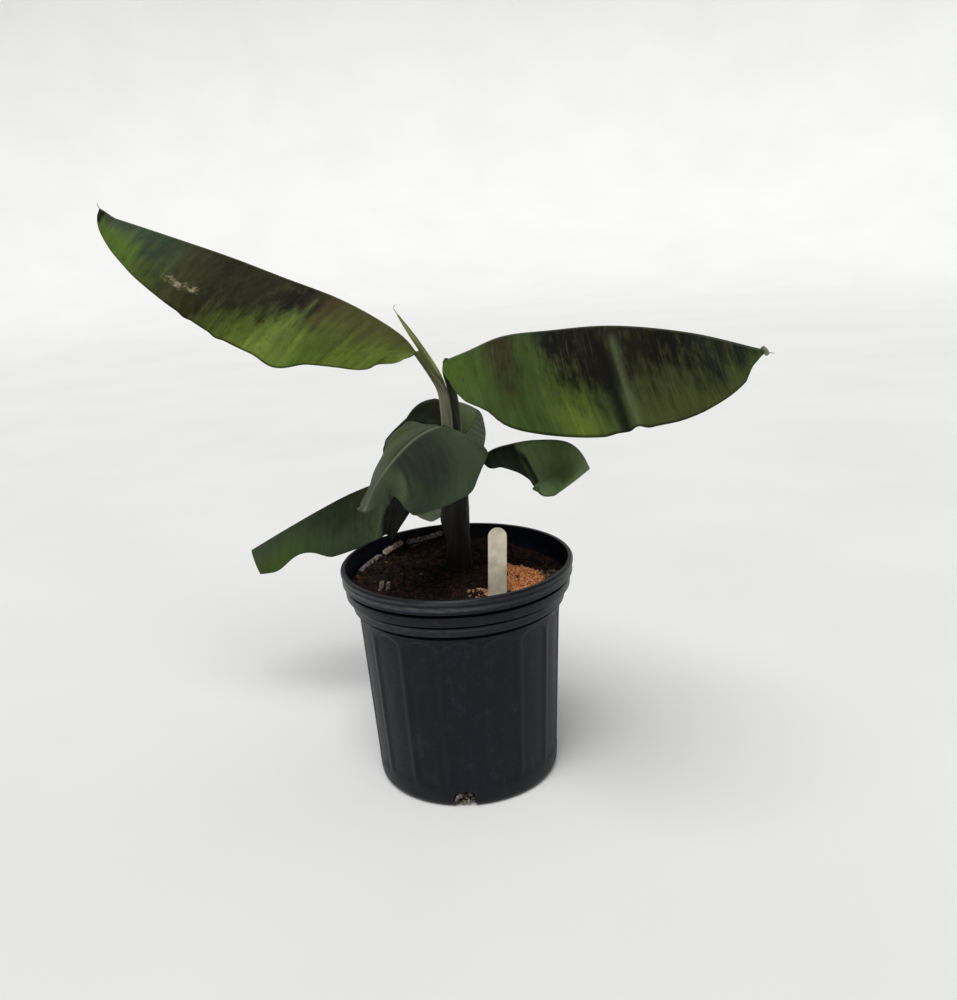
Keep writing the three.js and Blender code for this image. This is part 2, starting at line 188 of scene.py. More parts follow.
# What a blade has unless its own row says otherwise, and the blades
PLAIN_BLADE = {"reach": 1, "near_side": -1, "sweep": 0.1, "folds": []}
BLADES = {
    "left_high": dict(
        rib=[
            [-18.6, 21, 312], [-26, 24, 322], [-43, 29, 335], [-71, 36, 351],
            [-110, 47, 367], [-149, 58, 383], [-200, 70, 402], [-244, 80, 418],
        ],
        width=62, peak=0.39, fullness=0.54, veins=[0.22, 0.22],
        near=half_blade(
            [50, 42, 42], [80, 76, 75],
            (0.12, 0.25, -0.12), (0.325, 0.09, 0.07), (0.52, 0.03, 0.02), (0.64, 0.03, 0.02),
        ),
        far=half_blade([40, 40, 40], [70, 66, 60]),
        folds=[sheet_fold(75, 0.25, -0.8, 3.4, 0.8, 34), sheet_fold(78.4, 0.25, 0.8, 2.6, 0.6, 34)],
        scar=[(192, 32), (164, 35)],
        beak={"start": 0.95, "lift": 3.2},
    ),
    "right_high": dict(
        rib=[
            [2, 14, 307], [16, 0, 314], [39, -25, 326], [69, -60, 333],
            [102, -100, 339], [139, -148, 339], [169, -191, 334],
        ],
        width=72, peak=0.53, fullness=0.41, near_side=1, veins=[0.22, 1.14],
        near=half_blade(
            [50, 42, 40], [80, 76, 72],
            (0.783, 0.12, -0.035), (0.767, 0.032, -0.03), (0.727, 0.05, -0.009),
        ),
        far=half_blade([40, 45, 60], [70, 75, 88], (1, 0.75, -0.4), (1, 0.22, -0.5)),
        folds=[sheet_fold(138, 0.95, -2.6, 9, 0.9), sheet_fold(154, 0.93, 1.8, 6, 0.6)],
    ),
    "front": dict(
        rib=[
            [-5, 3, 262], [-13, -18, 264], [-24, -45, 263],
            [-35, -75, 258], [-44, -100, 251], [-51, -116, 239],
        ],
        width=56, peak=0.24, fullness=0.55, veins=[0.5, 0.7],
        near=half_blade(
            [5, 17, 60], [33, 93, 94],
            (0.146, 0.197, -0.136), (0.778, 0.067, -0.4), (0.974, 0.28, -0.55),
        ),
        far=half_blade([-11, 19, 56], [11, 88, 32], (0.13, 0.33, -0.41), (1, 0.4, -0.23)),
        folds=[sheet_fold(84, 0.75, 1.6, 7, 0.5)],
    ),
    "back": dict(
        rib=[
            [5, 32, 247], [1, 48, 263], [-6, 64, 269], [-13, 84, 260],
            [-18, 106, 228], [-22, 120, 187], [-22, 126, 154],
        ],
        width=45, peak=0.5, fullness=0.7, veins=[0.4, 0.4],
        near=half_blade([-16, -5, 40], [86, 47, 55], (0.37, 0.2, -0.1), (0.33, 0.12, -0.28)),
        far=half_blade([10, 10, 20], [35, 35, 40]),
    ),
    "right_low": dict(
        rib=[
            [16, 7, 230.5], [28, -4, 244], [42, -18, 251.3], [59, -32, 256.4],
            [79, -46, 257], [88, -52, 250], [93, -54, 240],
        ],
        width=45, peak=0.76, fullness=0.5, reach=0.82, near_side=1, veins=[0.5, 0.9],
        near=half_blade(
            [42, 46, 6], [88, 89, 24],
            (0.21, 0.1, 0.38), (0.655, 0.144, 0.08), (0.96, 0.062, 0.26),
        ),
        far=half_blade([42, 29, 27], [43, 15, 63], (0.09, 0.2, 0.17), (1, 0.6, -0.93)),
        folds=[sheet_fold(46.5, 0.78, -1.6, 5, 0.9)],
    ),
    "left_low": dict(
        rib=[
            [-21, 40, 215], [-41, 62, 210], [-61, 77, 203], [-84, 86, 193],
            [-109, 92, 180], [-140, 97, 163], [-170, 101, 146],
        ],
        width=44, peak=0.36, fullness=0.5, reach=0.88, sweep=0.2, veins=[0.3, 0.3],
        near=half_blade(
            [50, 62, 44, 42], [74, 90, 76, 75],
            (0.1, 0.12, 0.28), (0.16, 0.1, 0.14), (0.77, 0.17, -0.28),
        ),
        far=half_blade([35, 35, 35], [60, 60, 60]),
        folds=[sheet_fold(20, 1, 1.6, 4, 0.45)],
    ),
}


def srgb(red, green, blue):
    """A screen colour, from 0 to 255, as the linear colour that a shader takes."""
    shares = np.array([red, green, blue]) / 255
    linear = np.where(shares <= 0.04045, shares / 12.92, ((shares + 0.055) / 1.055) ** 2.4)
    return (*linear.tolist(), 1.0)


DEEP_SHADE = srgb(8, 10, 6)
NEAR_BLACK = srgb(17, 17, 13)
MAROON = srgb(31, 28, 20)
DEEP_OLIVE = srgb(36, 36, 21)
SHADED_GREEN = srgb(28, 33, 25)
FOOT_OLIVE = srgb(74, 76, 38)
RED_BROWN = srgb(68, 58, 34)
OLIVE_BROWN = srgb(52, 50, 30)
OLIVE = srgb(64, 70, 36)
DARK_GREEN = srgb(36, 46, 30)
LEAF_GREEN = srgb(60, 80, 36)
BRIGHT_GREEN = srgb(80, 104, 40)
YELLOW_GREEN = srgb(94, 112, 42)
SUN_GREEN = srgb(106, 124, 52)
BLUE_GREEN = srgb(49, 64, 47)
GREY_GREEN = srgb(64, 77, 56)
GREY_MAUVE = srgb(46, 49, 42)
LIT_GREEN = srgb(86, 106, 66)
SOFT_OLIVE = srgb(72, 82, 52)
LIT_RIB_GREEN = srgb(112, 134, 86)
PALE_GREEN = srgb(98, 110, 78)
RIB_GREY = srgb(102, 110, 88)
SCAR_TAN = srgb(200, 186, 146)

# Tones along each blade: deep ones by the rib, light ones by the margin, and how far out the deep reach
TONES = {
    "left_high": dict(
        deep=[
            (0.2, FOOT_OLIVE), (0.26, RED_BROWN), (0.34, NEAR_BLACK), (0.42, DEEP_OLIVE),
            (0.56, DEEP_OLIVE), (0.68, OLIVE_BROWN), (0.78, BLUE_GREEN), (0.92, GREY_GREEN),
            (0.965, GREY_GREEN), (0.98, NEAR_BLACK),
        ],
        light=[
            (0, SUN_GREEN), (0.14, YELLOW_GREEN), (0.22, BRIGHT_GREEN), (0.34, SUN_GREEN),
            (0.46, YELLOW_GREEN), (0.6, OLIVE_BROWN), (0.72, OLIVE), (0.84, BRIGHT_GREEN),
            (0.965, BRIGHT_GREEN), (0.98, NEAR_BLACK),
        ],
        reach=[
            (0, 0.3), (0.16, 0.56), (0.26, 0.46), (0.4, 0.66),
            (0.56, 0.95), (0.7, 0.7), (0.82, 0.45), (0.95, 0.3),
        ],
        edge=NEAR_BLACK, contrast=1, rib=0.35,
    ),
    "right_high": dict(
        deep=[
            (0.13, LEAF_GREEN), (0.17, OLIVE_BROWN), (0.24, OLIVE_BROWN), (0.28, LEAF_GREEN),
            (0.34, DARK_GREEN), (0.38, NEAR_BLACK), (0.6, MAROON), (0.72, NEAR_BLACK),
            (0.9, SHADED_GREEN),
        ],
        light=[
            (0, BRIGHT_GREEN), (0.2, LEAF_GREEN), (0.3, LEAF_GREEN), (0.42, YELLOW_GREEN),
            (0.5, LEAF_GREEN), (0.58, OLIVE), (0.86, OLIVE), (0.96, LEAF_GREEN),
        ],
        reach=[
            (0, 0.1), (0.14, 0.2), (0.2, 0.65), (0.27, 0.3), (0.34, 0.35),
            (0.4, 0.68), (0.55, 0.7), (0.62, 0.5), (0.84, 0.58), (0.95, 0.3),
        ],
        edge=NEAR_BLACK, contrast=1, rib=0.35,
    ),
    "front": dict(
        deep=[(0, GREY_GREEN), (0.25, GREY_MAUVE), (0.6, GREY_MAUVE), (0.72, GREY_GREEN)],
        light=[(0, GREY_GREEN), (0.5, BLUE_GREEN), (1, GREY_GREEN)],
        reach=[(0, 0.3), (0.4, 0.7), (0.7, 0.6), (0.85, 0.2)],
        edge=GREY_GREEN, contrast=0.45, rib=0.85,
    ),
    "back": dict(
        deep=[(0, NEAR_BLACK), (0.4, DARK_GREEN), (1, GREY_GREEN)],
        light=[(0.5, DARK_GREEN), (1, GREY_GREEN)],
        reach=[(0, 0.6), (1, 0.4)],
        edge=NEAR_BLACK, contrast=0.6, rib=0.4,
    ),
    # The right low blade is painted in shade up to its fold and painted lit beyond it
    "right_low": dict(
        deep=[(0.38, SHADED_GREEN), (0.43, LIT_RIB_GREEN)],
        light=[(0, SHADED_GREEN), (0.15, DARK_GREEN), (0.37, SHADED_GREEN), (0.42, LIT_GREEN)],
        reach=[(0, 0.5), (1, 0.5)],
        edge=NEAR_BLACK, contrast=0.5, rib=0.95,
    ),
    # The foot of the left low blade is painted in deep shade, where it is turned away from the light
    "left_low": dict(
        deep=[
            (0.19, DEEP_SHADE), (0.22, GREY_GREEN), (0.3, OLIVE_BROWN),
            (0.5, DARK_GREEN), (1, GREY_GREEN),
        ],
        light=[(0.2, DEEP_SHADE), (0.24, GREY_GREEN), (0.5, BLUE_GREEN), (0.85, LEAF_GREEN), (1, OLIVE)],
        reach=[(0, 0.7), (0.3, 0.6), (1, 0.4)],
        edge=DARK_GREEN, contrast=0.5, rib=0,
    ),
}
# Tones of the far halves of the front and back blades: painted lighter, as light falls on those halves
LIT_FAR_TONES = {
    "front": dict(
        deep=[(0, GREY_GREEN), (0.5, OLIVE_BROWN), (1, GREY_GREEN)],
        light=[(0, OLIVE), (0.5, SOFT_OLIVE), (1, GREY_GREEN)],
        reach=[(0, 0.4), (1, 0.4)],
        edge=PALE_GREEN, contrast=0.5, rib=0.85,
    ),
    "back": dict(
        deep=[(0, SOFT_OLIVE), (1, SOFT_OLIVE)],
        light=[(0, SOFT_OLIVE), (1, LIT_GREEN)],
        reach=[(0, 0.4), (1, 0.4)],
        edge=DARK_GREEN, contrast=0.5, rib=0.85,
    ),
}


# Shapes shared by the pieces


def bump(distance):
    """A soft hump of height 1 that ends at a distance of 1 to either side."""
    return (1 - np.minimum(1, np.abs(distance)) ** 2) ** 2


def smooth_step(value, low, high):
    share = np.clip((value - low) / (high - low), 0, 1)
    return share * share * (3 - 2 * share)


def smooth_value(values, t):
    """A smooth curve through evenly spaced values, read at shares t."""
    known = np.asarray(values, float)
    spans = len(known) - 1
    place = np.clip(np.asarray(t, float) * spans, 0, spans)
    i = np.minimum(np.floor(place).astype(int), spans - 1)
    w = place - i
    padded = np.concatenate([[2 * known[0] - known[1]], known, [2 * known[-1] - known[-2]]])
    a, b, c, d = padded[i], padded[i + 1], padded[i + 2], padded[i + 3]
    return b + 0.5 * w * (c - a + w * (2 * a - 5 * b + 4 * c - d + w * (3 * (b - c) + d - a)))


def lattice_noise(points, size, seed):
    """Smooth random values from -1 to 1 at points, on a lattice with cells of one size."""
    cells = 32
    table = np.random.default_rng(seed).uniform(-1, 1, (cells, cells, cells))
    place = np.asarray(points, float) / size
    low = np.floor(place).astype(int)
    part = place - low
    part = part * part * (3 - 2 * part)
    total = np.zeros(place.shape[:-1])
    for corner in np.ndindex(2, 2, 2):
        corner = np.array(corner)
        weight = np.where(corner == 1, part, 1 - part).prod(axis=-1)
        index = (low + corner) % cells
        total += weight * table[index[..., 0], index[..., 1], index[..., 2]]
    return total


def unit(vectors):
    return vectors / np.linalg.norm(vectors, axis=1)[:, None]


def curve_segment(points, i, w):
    """Points of a centripetal Catmull-Rom curve on its span i, at shares w of that span."""
    before = points[i - 1] if i > 0 else 2 * points[0] - points[1]
    start, end = points[i], points[i + 1]
    after = points[i + 2] if i + 2 < len(points) else 2 * points[-1] - points[-2]
    gaps = [math.sqrt(np.linalg.norm(b - a)) for a, b in ((before, start), (start, end), (end, after))]
    leave = (start - before) / gaps[0] - (end - before) / (gaps[0] + gaps[1]) + (end - start) / gaps[1]
    arrive = (end - start) / gaps[1] - (after - start) / (gaps[1] + gaps[2]) + (after - end) / gaps[2]
    leave, arrive = leave * gaps[1], arrive * gaps[1]
    square = -3 * start + 3 * end - 2 * leave - arrive
    cube = 2 * start - 2 * end + leave + arrive
    w = np.asarray(w)[:, None]
    return start + leave * w + square * w**2 + cube * w**3


def curve_through(line, shares):
    """Points and directions of the smooth line through given points, at shares of its length."""
    points = np.asarray(line, float)
    steps = np.linspace(0, 1, 60)
    path = np.concatenate([curve_segment(points, i, steps) for i in range(len(points) - 1)])
    lengths = np.concatenate([[0], np.cumsum(np.linalg.norm(np.diff(path, axis=0), axis=1))])
    wanted = np.asarray(shares) * lengths[-1]

    def at(distance):
        return np.stack([np.interp(distance, lengths, path[:, k]) for k in range(3)], axis=-1)

    reach = 0.004 * lengths[-1]
    ahead = at(np.minimum(wanted + reach, lengths[-1])) - at(np.maximum(wanted - reach, 0))
    return at(wanted), unit(ahead), lengths[-1]


def turns(count):
    """Evenly spaced angles once round."""
    return np.linspace(0, 2 * math.pi, count, endpoint=False)


def tube_grid(rings, sides):
    """Shares along a tube and angles round it, for each of its points."""
    return np.meshgrid(np.linspace(0, 1, rings), turns(sides), indexing="ij")


def grid_faces(rows, columns, first=0, wrap=False, flip=False):
    """Quads between the neighbours of a grid of points that is stored row by row."""
    quad_columns = columns if wrap else columns - 1
    row, column = np.meshgrid(np.arange(rows - 1), np.arange(quad_columns), indexing="ij")
    beside = (column + 1) % columns
    corners = [
        row * columns + column,
        row * columns + beside,
        (row + 1) * columns + beside,
        (row + 1) * columns + column,
    ]
    quads = np.stack(corners, axis=-1).reshape(-1, 4) + first
    return (quads[:, ::-1] if flip else quads).tolist()


def closed_tube(rows):
    """Points and faces of a tube from rings of points, with a fan over each end."""
    count, sides, _ = rows.shape
    points = np.concatenate([rows.reshape(-1, 3), rows[0].mean(axis=0)[None], rows[-1].mean(axis=0)[None]])
    foot, top = count * sides, count * sides + 1
    faces = grid_faces(count, sides, wrap=True)
    for i in range(sides):
        j = (i + 1) % sides
        faces.append([foot, j, i])
        faces.append([top, (count - 1) * sides + i, (count - 1) * sides + j])
    return points, faces


def swept(line, rings, sides, radius, toward):
    """Rings of points round a line. Angle 0 faces away from the given direction."""
    t, angle = tube_grid(rings, sides)
    centres, along, _ = curve_through(line, t[:, 0])
    across = unit(np.cross(along, np.asarray(toward, float)))
    back = np.cross(across, along)
    reach = radius(t, angle)
    out = np.cos(angle)[..., None] * -back[:, None] + np.sin(angle)[..., None] * across[:, None]
    return centres[:, None] + reach[..., None] * out


def link_object(name, data):
    """A new object in the scene."""
    made = bpy.data.objects.new(name, data)
    bpy.context.scene.collection.objects.link(made)
    return made


def mesh_object(name, points, faces, smooth=True):
    """An object made of faces between points in millimetres."""
    mesh = bpy.data.meshes.new(name)
    mesh.from_pydata((np.asarray(points) * MM).tolist(), [], faces)
    mesh.polygons.foreach_set("use_smooth", [smooth] * len(mesh.polygons))
    return link_object(name, mesh)


def make_piece(
    name, points, faces, looks, slot, replaces=(), marks=None, face_looks=None, sharp_angle=None
):
    """A piece of the plant, with its materials and the vectors that they read."""
    piece = mesh_object(name, points, faces)
    mesh = piece.data
    for look in looks:
        mesh.materials.append(look)
    if face_looks is not None:
        mesh.polygons.foreach_set("material_index", face_looks)
    for key, values in (marks or {}).items():
        layer = mesh.attributes.new(key, "FLOAT_VECTOR", "POINT")
        layer.data.foreach_set("vector", np.asarray(values, np.float32).ravel())
    mesh.update()
    if sharp_angle is not None:
        mesh.set_sharp_from_angle(angle=math.radians(sharp_angle))
    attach(piece, "root")
    if replaces:
        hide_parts(*replaces)
    return piece


def make_limb(name, line, rings, sides, radius, toward, girth, look, slot, node):
    """A tube along a line, with marks for grain that runs along it."""
    points, faces = closed_tube(swept(line, rings, sides, radius, toward))
    t, angle = tube_grid(rings, sides)
    _, _, length = curve_through(line, [0, 1])
    skin = np.stack([np.cos(angle) * girth, t * length, np.sin(angle) * girth], axis=-1) / GRAIN_UNIT
    ends = np.array([[0, 0, 0], [0, length / GRAIN_UNIT, 0]])
    marks = {"grain": np.concatenate([skin.reshape(-1, 3), ends])}
    return make_piece(name, points, faces, [look], slot, [node], marks)


# Materials: a helper that is given a socket adds its node to that socket's tree


def new_look(name, roughness=0.5, specular=0.5):
    """A new material and its node tree."""
    look = bpy.data.materials.new(name)
    look.use_nodes = True
    shader = look.node_tree.nodes["Principled BSDF"]
    shader.inputs["Roughness"].default_value = roughness
    shader.inputs["Specular IOR Level"].default_value = specular
    return look, look.node_tree


def feed(look, name, value):
    """Link a value to an input of a material's main shader."""
    tree = look.node_tree
    tree.links.new(value, tree.nodes["Principled BSDF"].inputs[name])


def add_node(tree, kind, inputs, **settings):
    """A node whose inputs are linked where they are sockets and set where they are values."""
    made = tree.nodes.new(kind)
    for key, value in settings.items():
        setattr(made, key, value)
    for key, value in inputs.items():
        if isinstance(value, bpy.types.NodeSocket):
            tree.links.new(value, made.inputs[key])
        else:
            made.inputs[key].default_value = value
    return made


def calculate(operation, a, b=0.0):
    return add_node(a.id_data, "ShaderNodeMath", {0: a, 1: b}, operation=operation).outputs[0]


def add(a, b):
    return calculate("ADD", a, b)


def multiply(a, b):
    return calculate("MULTIPLY", a, b)


def stretched(vector, scale):
    inputs = {"Vector": vector, "Scale": scale}
    return add_node(vector.id_data, "ShaderNodeMapping", inputs).outputs["Vector"]


def noise(vector, scale, detail=2.0, roughness=0.5):
    """Fractal noise, with one scale for all directions or a scale for each."""
    if isinstance(scale, tuple):
        vector, scale = stretched(vector, scale), 1.0
    inputs = {"Vector": vector, "Scale": scale, "Detail": detail, "Roughness": roughness}
    return add_node(vector.id_data, "ShaderNodeTexNoise", inputs).outputs["Fac"]


def ramp(factor, stops):
    """A run of colours along a factor from 0 to 1."""
    made = add_node(factor.id_data, "ShaderNodeValToRGB", {"Fac": factor})
    band = made.color_ramp
    while len(band.elements) < len(stops):
        band.elements.new(0.5)
    for element, (place, colour) in zip(band.elements, stops):
        element.position = place
        element.color = colour
    return made.outputs["Color"]


def share_ramp(factor, stops):
    """A run of shares along a factor from 0 to 1."""
    return ramp(factor, [(place, (share, share, share, 1)) for place, share in stops])


def rise(value, low, high):
    """A smooth step from 0 at low to 1 at high, where low may lie above high."""
    inputs = {"Value": value, "From Min": low, "From Max": high}
    made = add_node(value.id_data, "ShaderNodeMapRange", inputs, interpolation_type="SMOOTHSTEP")
    return made.outputs["Result"]


def blend(factor, under, over):
    inputs = {0: factor, 6: under, 7: over}
    return add_node(factor.id_data, "ShaderNodeMix", inputs, data_type="RGBA").outputs[2]


def overlay(under, over, value, low, high, share):
    """A colour laid over another by up to a share, as a value goes from low to high."""
    return blend(multiply(rise(value, low, high), share), under, over)


def scaled(factor, low, high):
    """A factor from 0 to 1 made to run from low to high."""
    inputs = {"Value": factor, "To Min": low, "To Max": high}
    return add_node(factor.id_data, "ShaderNodeMapRange", inputs).outputs["Result"]


def shade(colour, factor, low, high):
    """A colour made darker or lighter, from low to high times its own, along a factor."""
    inputs = {0: colour, "Scale": scaled(factor, low, high)}
    return add_node(colour.id_data, "ShaderNodeVectorMath", inputs, operation="SCALE").outputs["Vector"]


def finish_look(look, colour, height, distance, strength):
    """Give a material its colour and its fine relief, which is up to a distance in millimetres high."""
    inputs = {"Height": height, "Distance": distance * MM, "Strength": strength}
    feed(look, "Base Color", colour)
    feed(look, "Normal", add_node(look.node_tree, "ShaderNodeBump", inputs).outputs["Normal"])
    return look


def read_mark(tree, name):
    """A vector stored on the mesh, and its three parts."""
    vector = add_node(tree, "ShaderNodeAttribute", {}, attribute_name=name).outputs["Vector"]
    parts = add_node(tree, "ShaderNodeSeparateXYZ", {"Vector": vector})
    return vector, parts.outputs["X"], parts.outputs["Y"], parts.outputs["Z"]


def object_place(tree):
    """Places on the piece, in millimetres."""
    vector = add_node(tree, "ShaderNodeTexCoord", {}).outputs["Object"]
    return stretched(vector, (1 / MM, 1 / MM, 1 / MM))


def spread(value, amount):
    """A noise value as a shift to both sides of nothing."""
    inputs = {0: value, 1: amount, 2: -amount / 2}
    return add_node(value.id_data, "ShaderNodeMath", inputs, operation="MULTIPLY_ADD").outputs[0]


def leaf_look(name, tones):
    """The upper face of a blade: deep tones that pass into light ones along the veins, and its marks:
    painted shadow and painted sheen along its folds, and a scar.
    """
    look, tree = new_look(name, specular=0.05)
    _, start, width, _ = read_mark(tree, "place")
    grain, vein, span, _ = read_mark(tree, "grain")
    _, shadow, sheen, scar = read_mark(tree, "marks")
    contrast = tones["contrast"]
    cloud = noise(grain, (0.55, 0.4, 1), 4.0, 0.6)
    streak = noise(grain, (2.6, 0.22, 1), 4.0, 0.6)
    mottle = noise(grain, (2.2, 1.1, 1), 5.0, 0.65)
    fine = noise(grain, (11, 0.25, 1), 3.0, 0.6)
    blotch = noise(grain, (1.8, 2.4, 1), 5.0, 0.8)
    along = add(start, spread(cloud, 0.1 * contrast))
    outward = calculate("SUBTRACT", width, share_ramp(along, tones["reach"]))
    for part, amount in ((cloud, 0.9), (streak, 0.3), (mottle, 0.7)):
        outward = add(outward, spread(part, amount))
    deep, light = ramp(along, tones["deep"]), ramp(along, tones["light"])
    colour = blend(rise(outward, -0.36, 0.4), deep, light)
    colour = overlay(colour, OLIVE_BROWN, mottle, 0.46, 0.7, 0.55 * contrast)
    for part, amount in ((cloud, 0.35), (streak, 0.4), (mottle, 0.5)):
        colour = shade(colour, part, 1 - amount * contrast, 1 + amount * contrast)
    colour = overlay(colour, PALE_GREEN, fine, 0.58, 0.78, 0.4 * contrast)
    colour = overlay(colour, RIB_GREY, span, 0.18, 0.06, tones["rib"])
    # Painted sheen on the ridges of folds and painted shadow in their valleys
    colour = blend(sheen, colour, PALE_GREEN)
    colour = blend(shadow, colour, NEAR_BLACK)
    torn = add(scar, spread(blotch, 3.4))
    colour = overlay(colour, SCAR_TAN, torn, 0.6, 1.8, 0.9)
    colour = overlay(colour, tones["edge"], width, 0.965, 0.99, 0.6)
    feed(look, "Roughness", scaled(fine, 0.45, 0.62))
    wave = calculate("SINE", multiply(vein, 42.0))
    return finish_look(look, colour, add(multiply(wave, 0.3), fine), 0.12, 0.5)


def underside_look():
    """The lower face of a blade: paler and duller, with a light midrib."""
    look, tree = new_look("blade_underside", roughness=0.6, specular=0.25)
    grain, _, span, _ = read_mark(tree, "grain")
    streak = noise(grain, (3.2, 0.2, 1), 3.0, 0.6)
    stops = [(0.3, srgb(100, 114, 92)), (0.55, srgb(120, 134, 108)), (0.75, srgb(136, 146, 120))]
    colour = overlay(ramp(streak, stops), srgb(136, 144, 114), span, 0.5, 0.25, 0.6)
    return finish_look(look, colour, streak, 0.2, 0.5)


def limb_look(name, shades, upper=None):
    """Plant skin with fibres that run along a limb, and other shades on its upper part."""
    look, tree = new_look(name, specular=0.25)
    grain, _, along, _ = read_mark(tree, "grain")
    fibre = noise(grain, (7, 0.5, 7), 4.0, 0.6)
    patch = noise(grain, (1.2, 0.35, 1))
    mixed = add(multiply(fibre, 0.55), multiply(patch, 0.45))
    places = (0.36, 0.5, 0.66)
    colour = ramp(mixed, list(zip(places, shades)))
    if upper is not None:
        higher = ramp(mixed, list(zip(places, upper)))
        colour = blend(rise(along, 2.6, 4.4), colour, higher)
    return finish_look(look, colour, fibre, 0.25, 0.6)


def pot_look():
    """Black moulded plastic: scuffed on its wall, glossier on the bands of its collar, with dust and a
    painted highlight on them.
    """
    look, tree = new_look("pot_plastic", specular=0.22)
    place = object_place(tree)
    parts = add_node(tree, "ShaderNodeSeparateXYZ", {"Vector": place}).outputs
    x, height = parts["X"], parts["Z"]
    flat = stretched(place, (1, 1, 0))
    reach = add_node(tree, "ShaderNodeVectorMath", {0: flat}, operation="LENGTH").outputs["Value"]
    cloud = noise(place, (0.05, 0.05, 0.02), 4.0, 0.6)
    speck = noise(place, 0.9, 2.0, 0.7)
    scuff = noise(place, (0.12, 0.12, 0.6), 5.0, 0.7)
    smear = noise(place, (0.09, 0.09, 0.05), 6.0, 0.75)
    colour = ramp(cloud, [(0.35, srgb(3, 5, 14)), (0.65, srgb(9, 12, 24))])
    colour = overlay(colour, srgb(66, 70, 80), smear, 0.52, 0.78, 0.22)
    colour = overlay(colour, srgb(120, 112, 104), speck, 0.66, 0.78, 0.35)
    colour = overlay(colour, srgb(92, 92, 96), scuff, 0.6, 0.8, 0.25)
    # Dust and a painted highlight on the outer bands of the collar, by height
    share = calculate("DIVIDE", calculate("SUBTRACT", height, COLLAR_FOOT_Z), COLLAR_HEIGHT)
    dust_and_highlight = share_ramp(share, [((z - COLLAR_FOOT_Z) / COLLAR_HEIGHT, v) for z, v in COLLAR_DUST_AND_HIGHLIGHT])
    outside = calculate("MAXIMUM", rise(reach, 80.8, 81.4), rise(height, 151.2, 150.8))
    # Painted light: the bands are made lighter towards the left, where the light falls on them
    left = scaled(rise(x, 40, -10), 0.3, 1)
    for part in (outside, left, scaled(scuff, -0.5, 1.7)):
        dust_and_highlight = multiply(dust_and_highlight, part)
    colour = blend(dust_and_highlight, colour, srgb(150, 152, 152))
    body, collar = scaled(scuff, 0.38, 0.62), scaled(scuff, 0.28, 0.5)
    mixed = add_node(tree, "ShaderNodeMix", {0: rise(height, 126, 132), 2: body, 3: collar})
    feed(look, "Roughness", mixed.outputs[0])
    return finish_look(look, colour, noise(place, 0.5, 4.0, 0.6), 0.12, 0.4)


def groove_shade_look():
    """Matt black painted shade in the grooves of the collar, where the bands above cast shadow."""
    look, tree = new_look("pot_groove_shade", roughness=0.9, specular=0.02)
    shade_noise = noise(object_place(tree), 0.6, 3.0, 0.6)
    colour = ramp(shade_noise, [(0.35, srgb(1, 1, 2)), (0.7, srgb(10, 10, 12))])
    return finish_look(look, colour, shade_noise, 0.1, 0.4)


def earth_look(name, deep, middle, light, grain=0.22):
    """Rough matter such as potting mix, bark and dry leaf, in one range of screen colours."""
    look, tree = new_look(name, roughness=0.9, specular=0.2)
    place = object_place(tree)
    patch = noise(place, grain, 4.0, 0.7)
    colour = ramp(patch, [(0.35, srgb(*deep)), (0.5, srgb(*middle)), (0.68, srgb(*light))])
    return finish_look(look, colour, noise(place, 1.3, 4.0, 0.7), 0.6, 0.8)


def label_look():
    """Off-white sheet plastic, with faint smudges and a little dirt."""
    look, tree = new_look("label_plastic", roughness=0.42, specular=0.4)
    place = object_place(tree)
    smudge = noise(place, 0.12, 4.0, 0.6)
    dirt = noise(place, 0.8, 3.0, 0.7)
    colour = ramp(smudge, [(0.35, srgb(192, 180, 157)), (0.6, srgb(220, 210, 188))])
    colour = overlay(colour, srgb(104, 96, 82), dirt, 0.62, 0.75, 0.4)
    return finish_look(look, colour, smudge, 0.1, 0.3)


def floor_look():
    """A matt pale floor with the faintest unevenness."""
    look, tree = new_look("floor_matt", roughness=0.8, specular=0.2)
    patch = noise(object_place(tree), 0.004)
    feed(look, "Base Color", ramp(patch, [(0.3, srgb(238, 238, 236)), (0.7, srgb(242, 242, 240))]))
    return look


# Pot


def body_radius(z):
    return BASE_RADIUS + (BODY_TOP_RADIUS - BASE_RADIUS) * z / BODY_TOP_Z


def rounded_profile(corners, radius):
    """A profile with a small arc in place of each inner corner."""
    points = [np.array(corners[0], float)]
    for before, corner, after in zip(corners, corners[1:], corners[2:]):
        before, corner, after = (np.array(p, float) for p in (before, corner, after))
        back, ahead = before - corner, after - corner
        cut = min(radius, 0.4 * np.linalg.norm(back), 0.4 * np.linalg.norm(ahead))
        start = corner + back / np.linalg.norm(back) * cut
        end = corner + ahead / np.linalg.norm(ahead) * cut
        for w in (0, 0.33, 0.67, 1):
            points.append((1 - w) ** 2 * start + 2 * w * (1 - w) * corner + w**2 * end)
    points.append(np.array(corners[-1], float))
    return points


def pot_profile():
    """Radius and height from the middle of the underside, up the outside and down the inside."""
    foot = [(0.5, 1), (50, 1), (52, 0), (60.6, 0), (64.4, 1.2), (66.4, 3.6), (body_radius(7), 7)]
    wall = [(body_radius(z), z) for z in np.arange(10, 112, 2.0)]
    wall += [(body_radius(z), z) for z in np.arange(112, 132.2, 0.8)]
    band = [(73.4, 133.4), (76.8, 134.8), (77, 135.6), (77.3, 137), (77.3, 141.8), (77.3, 143.4)]
    band += [(81.3, 144.6), (81.5, 150.8)]
    band += [(80.2, 151.6), (80.2, 153), (83.4, 154), (83.2, 158.8), (82.8, 159.4), (82.9, 160.2)]
    band += [(84, 160.8), (84, 162.8), (83, 164)]
    inside = [(80.6, 164), (80.2, 158), (79.6, 152), (75.2, 136), (71.8, 131.6), (68, 70), (63.9, 10)]
    inside += [(62.4, 4), (58.9, 2.2), (30, 2.2), (0.5, 2.2)]
    return rounded_profile(foot, 0.8) + wall + rounded_profile(band, 0.45) + rounded_profile(inside, 0.6)


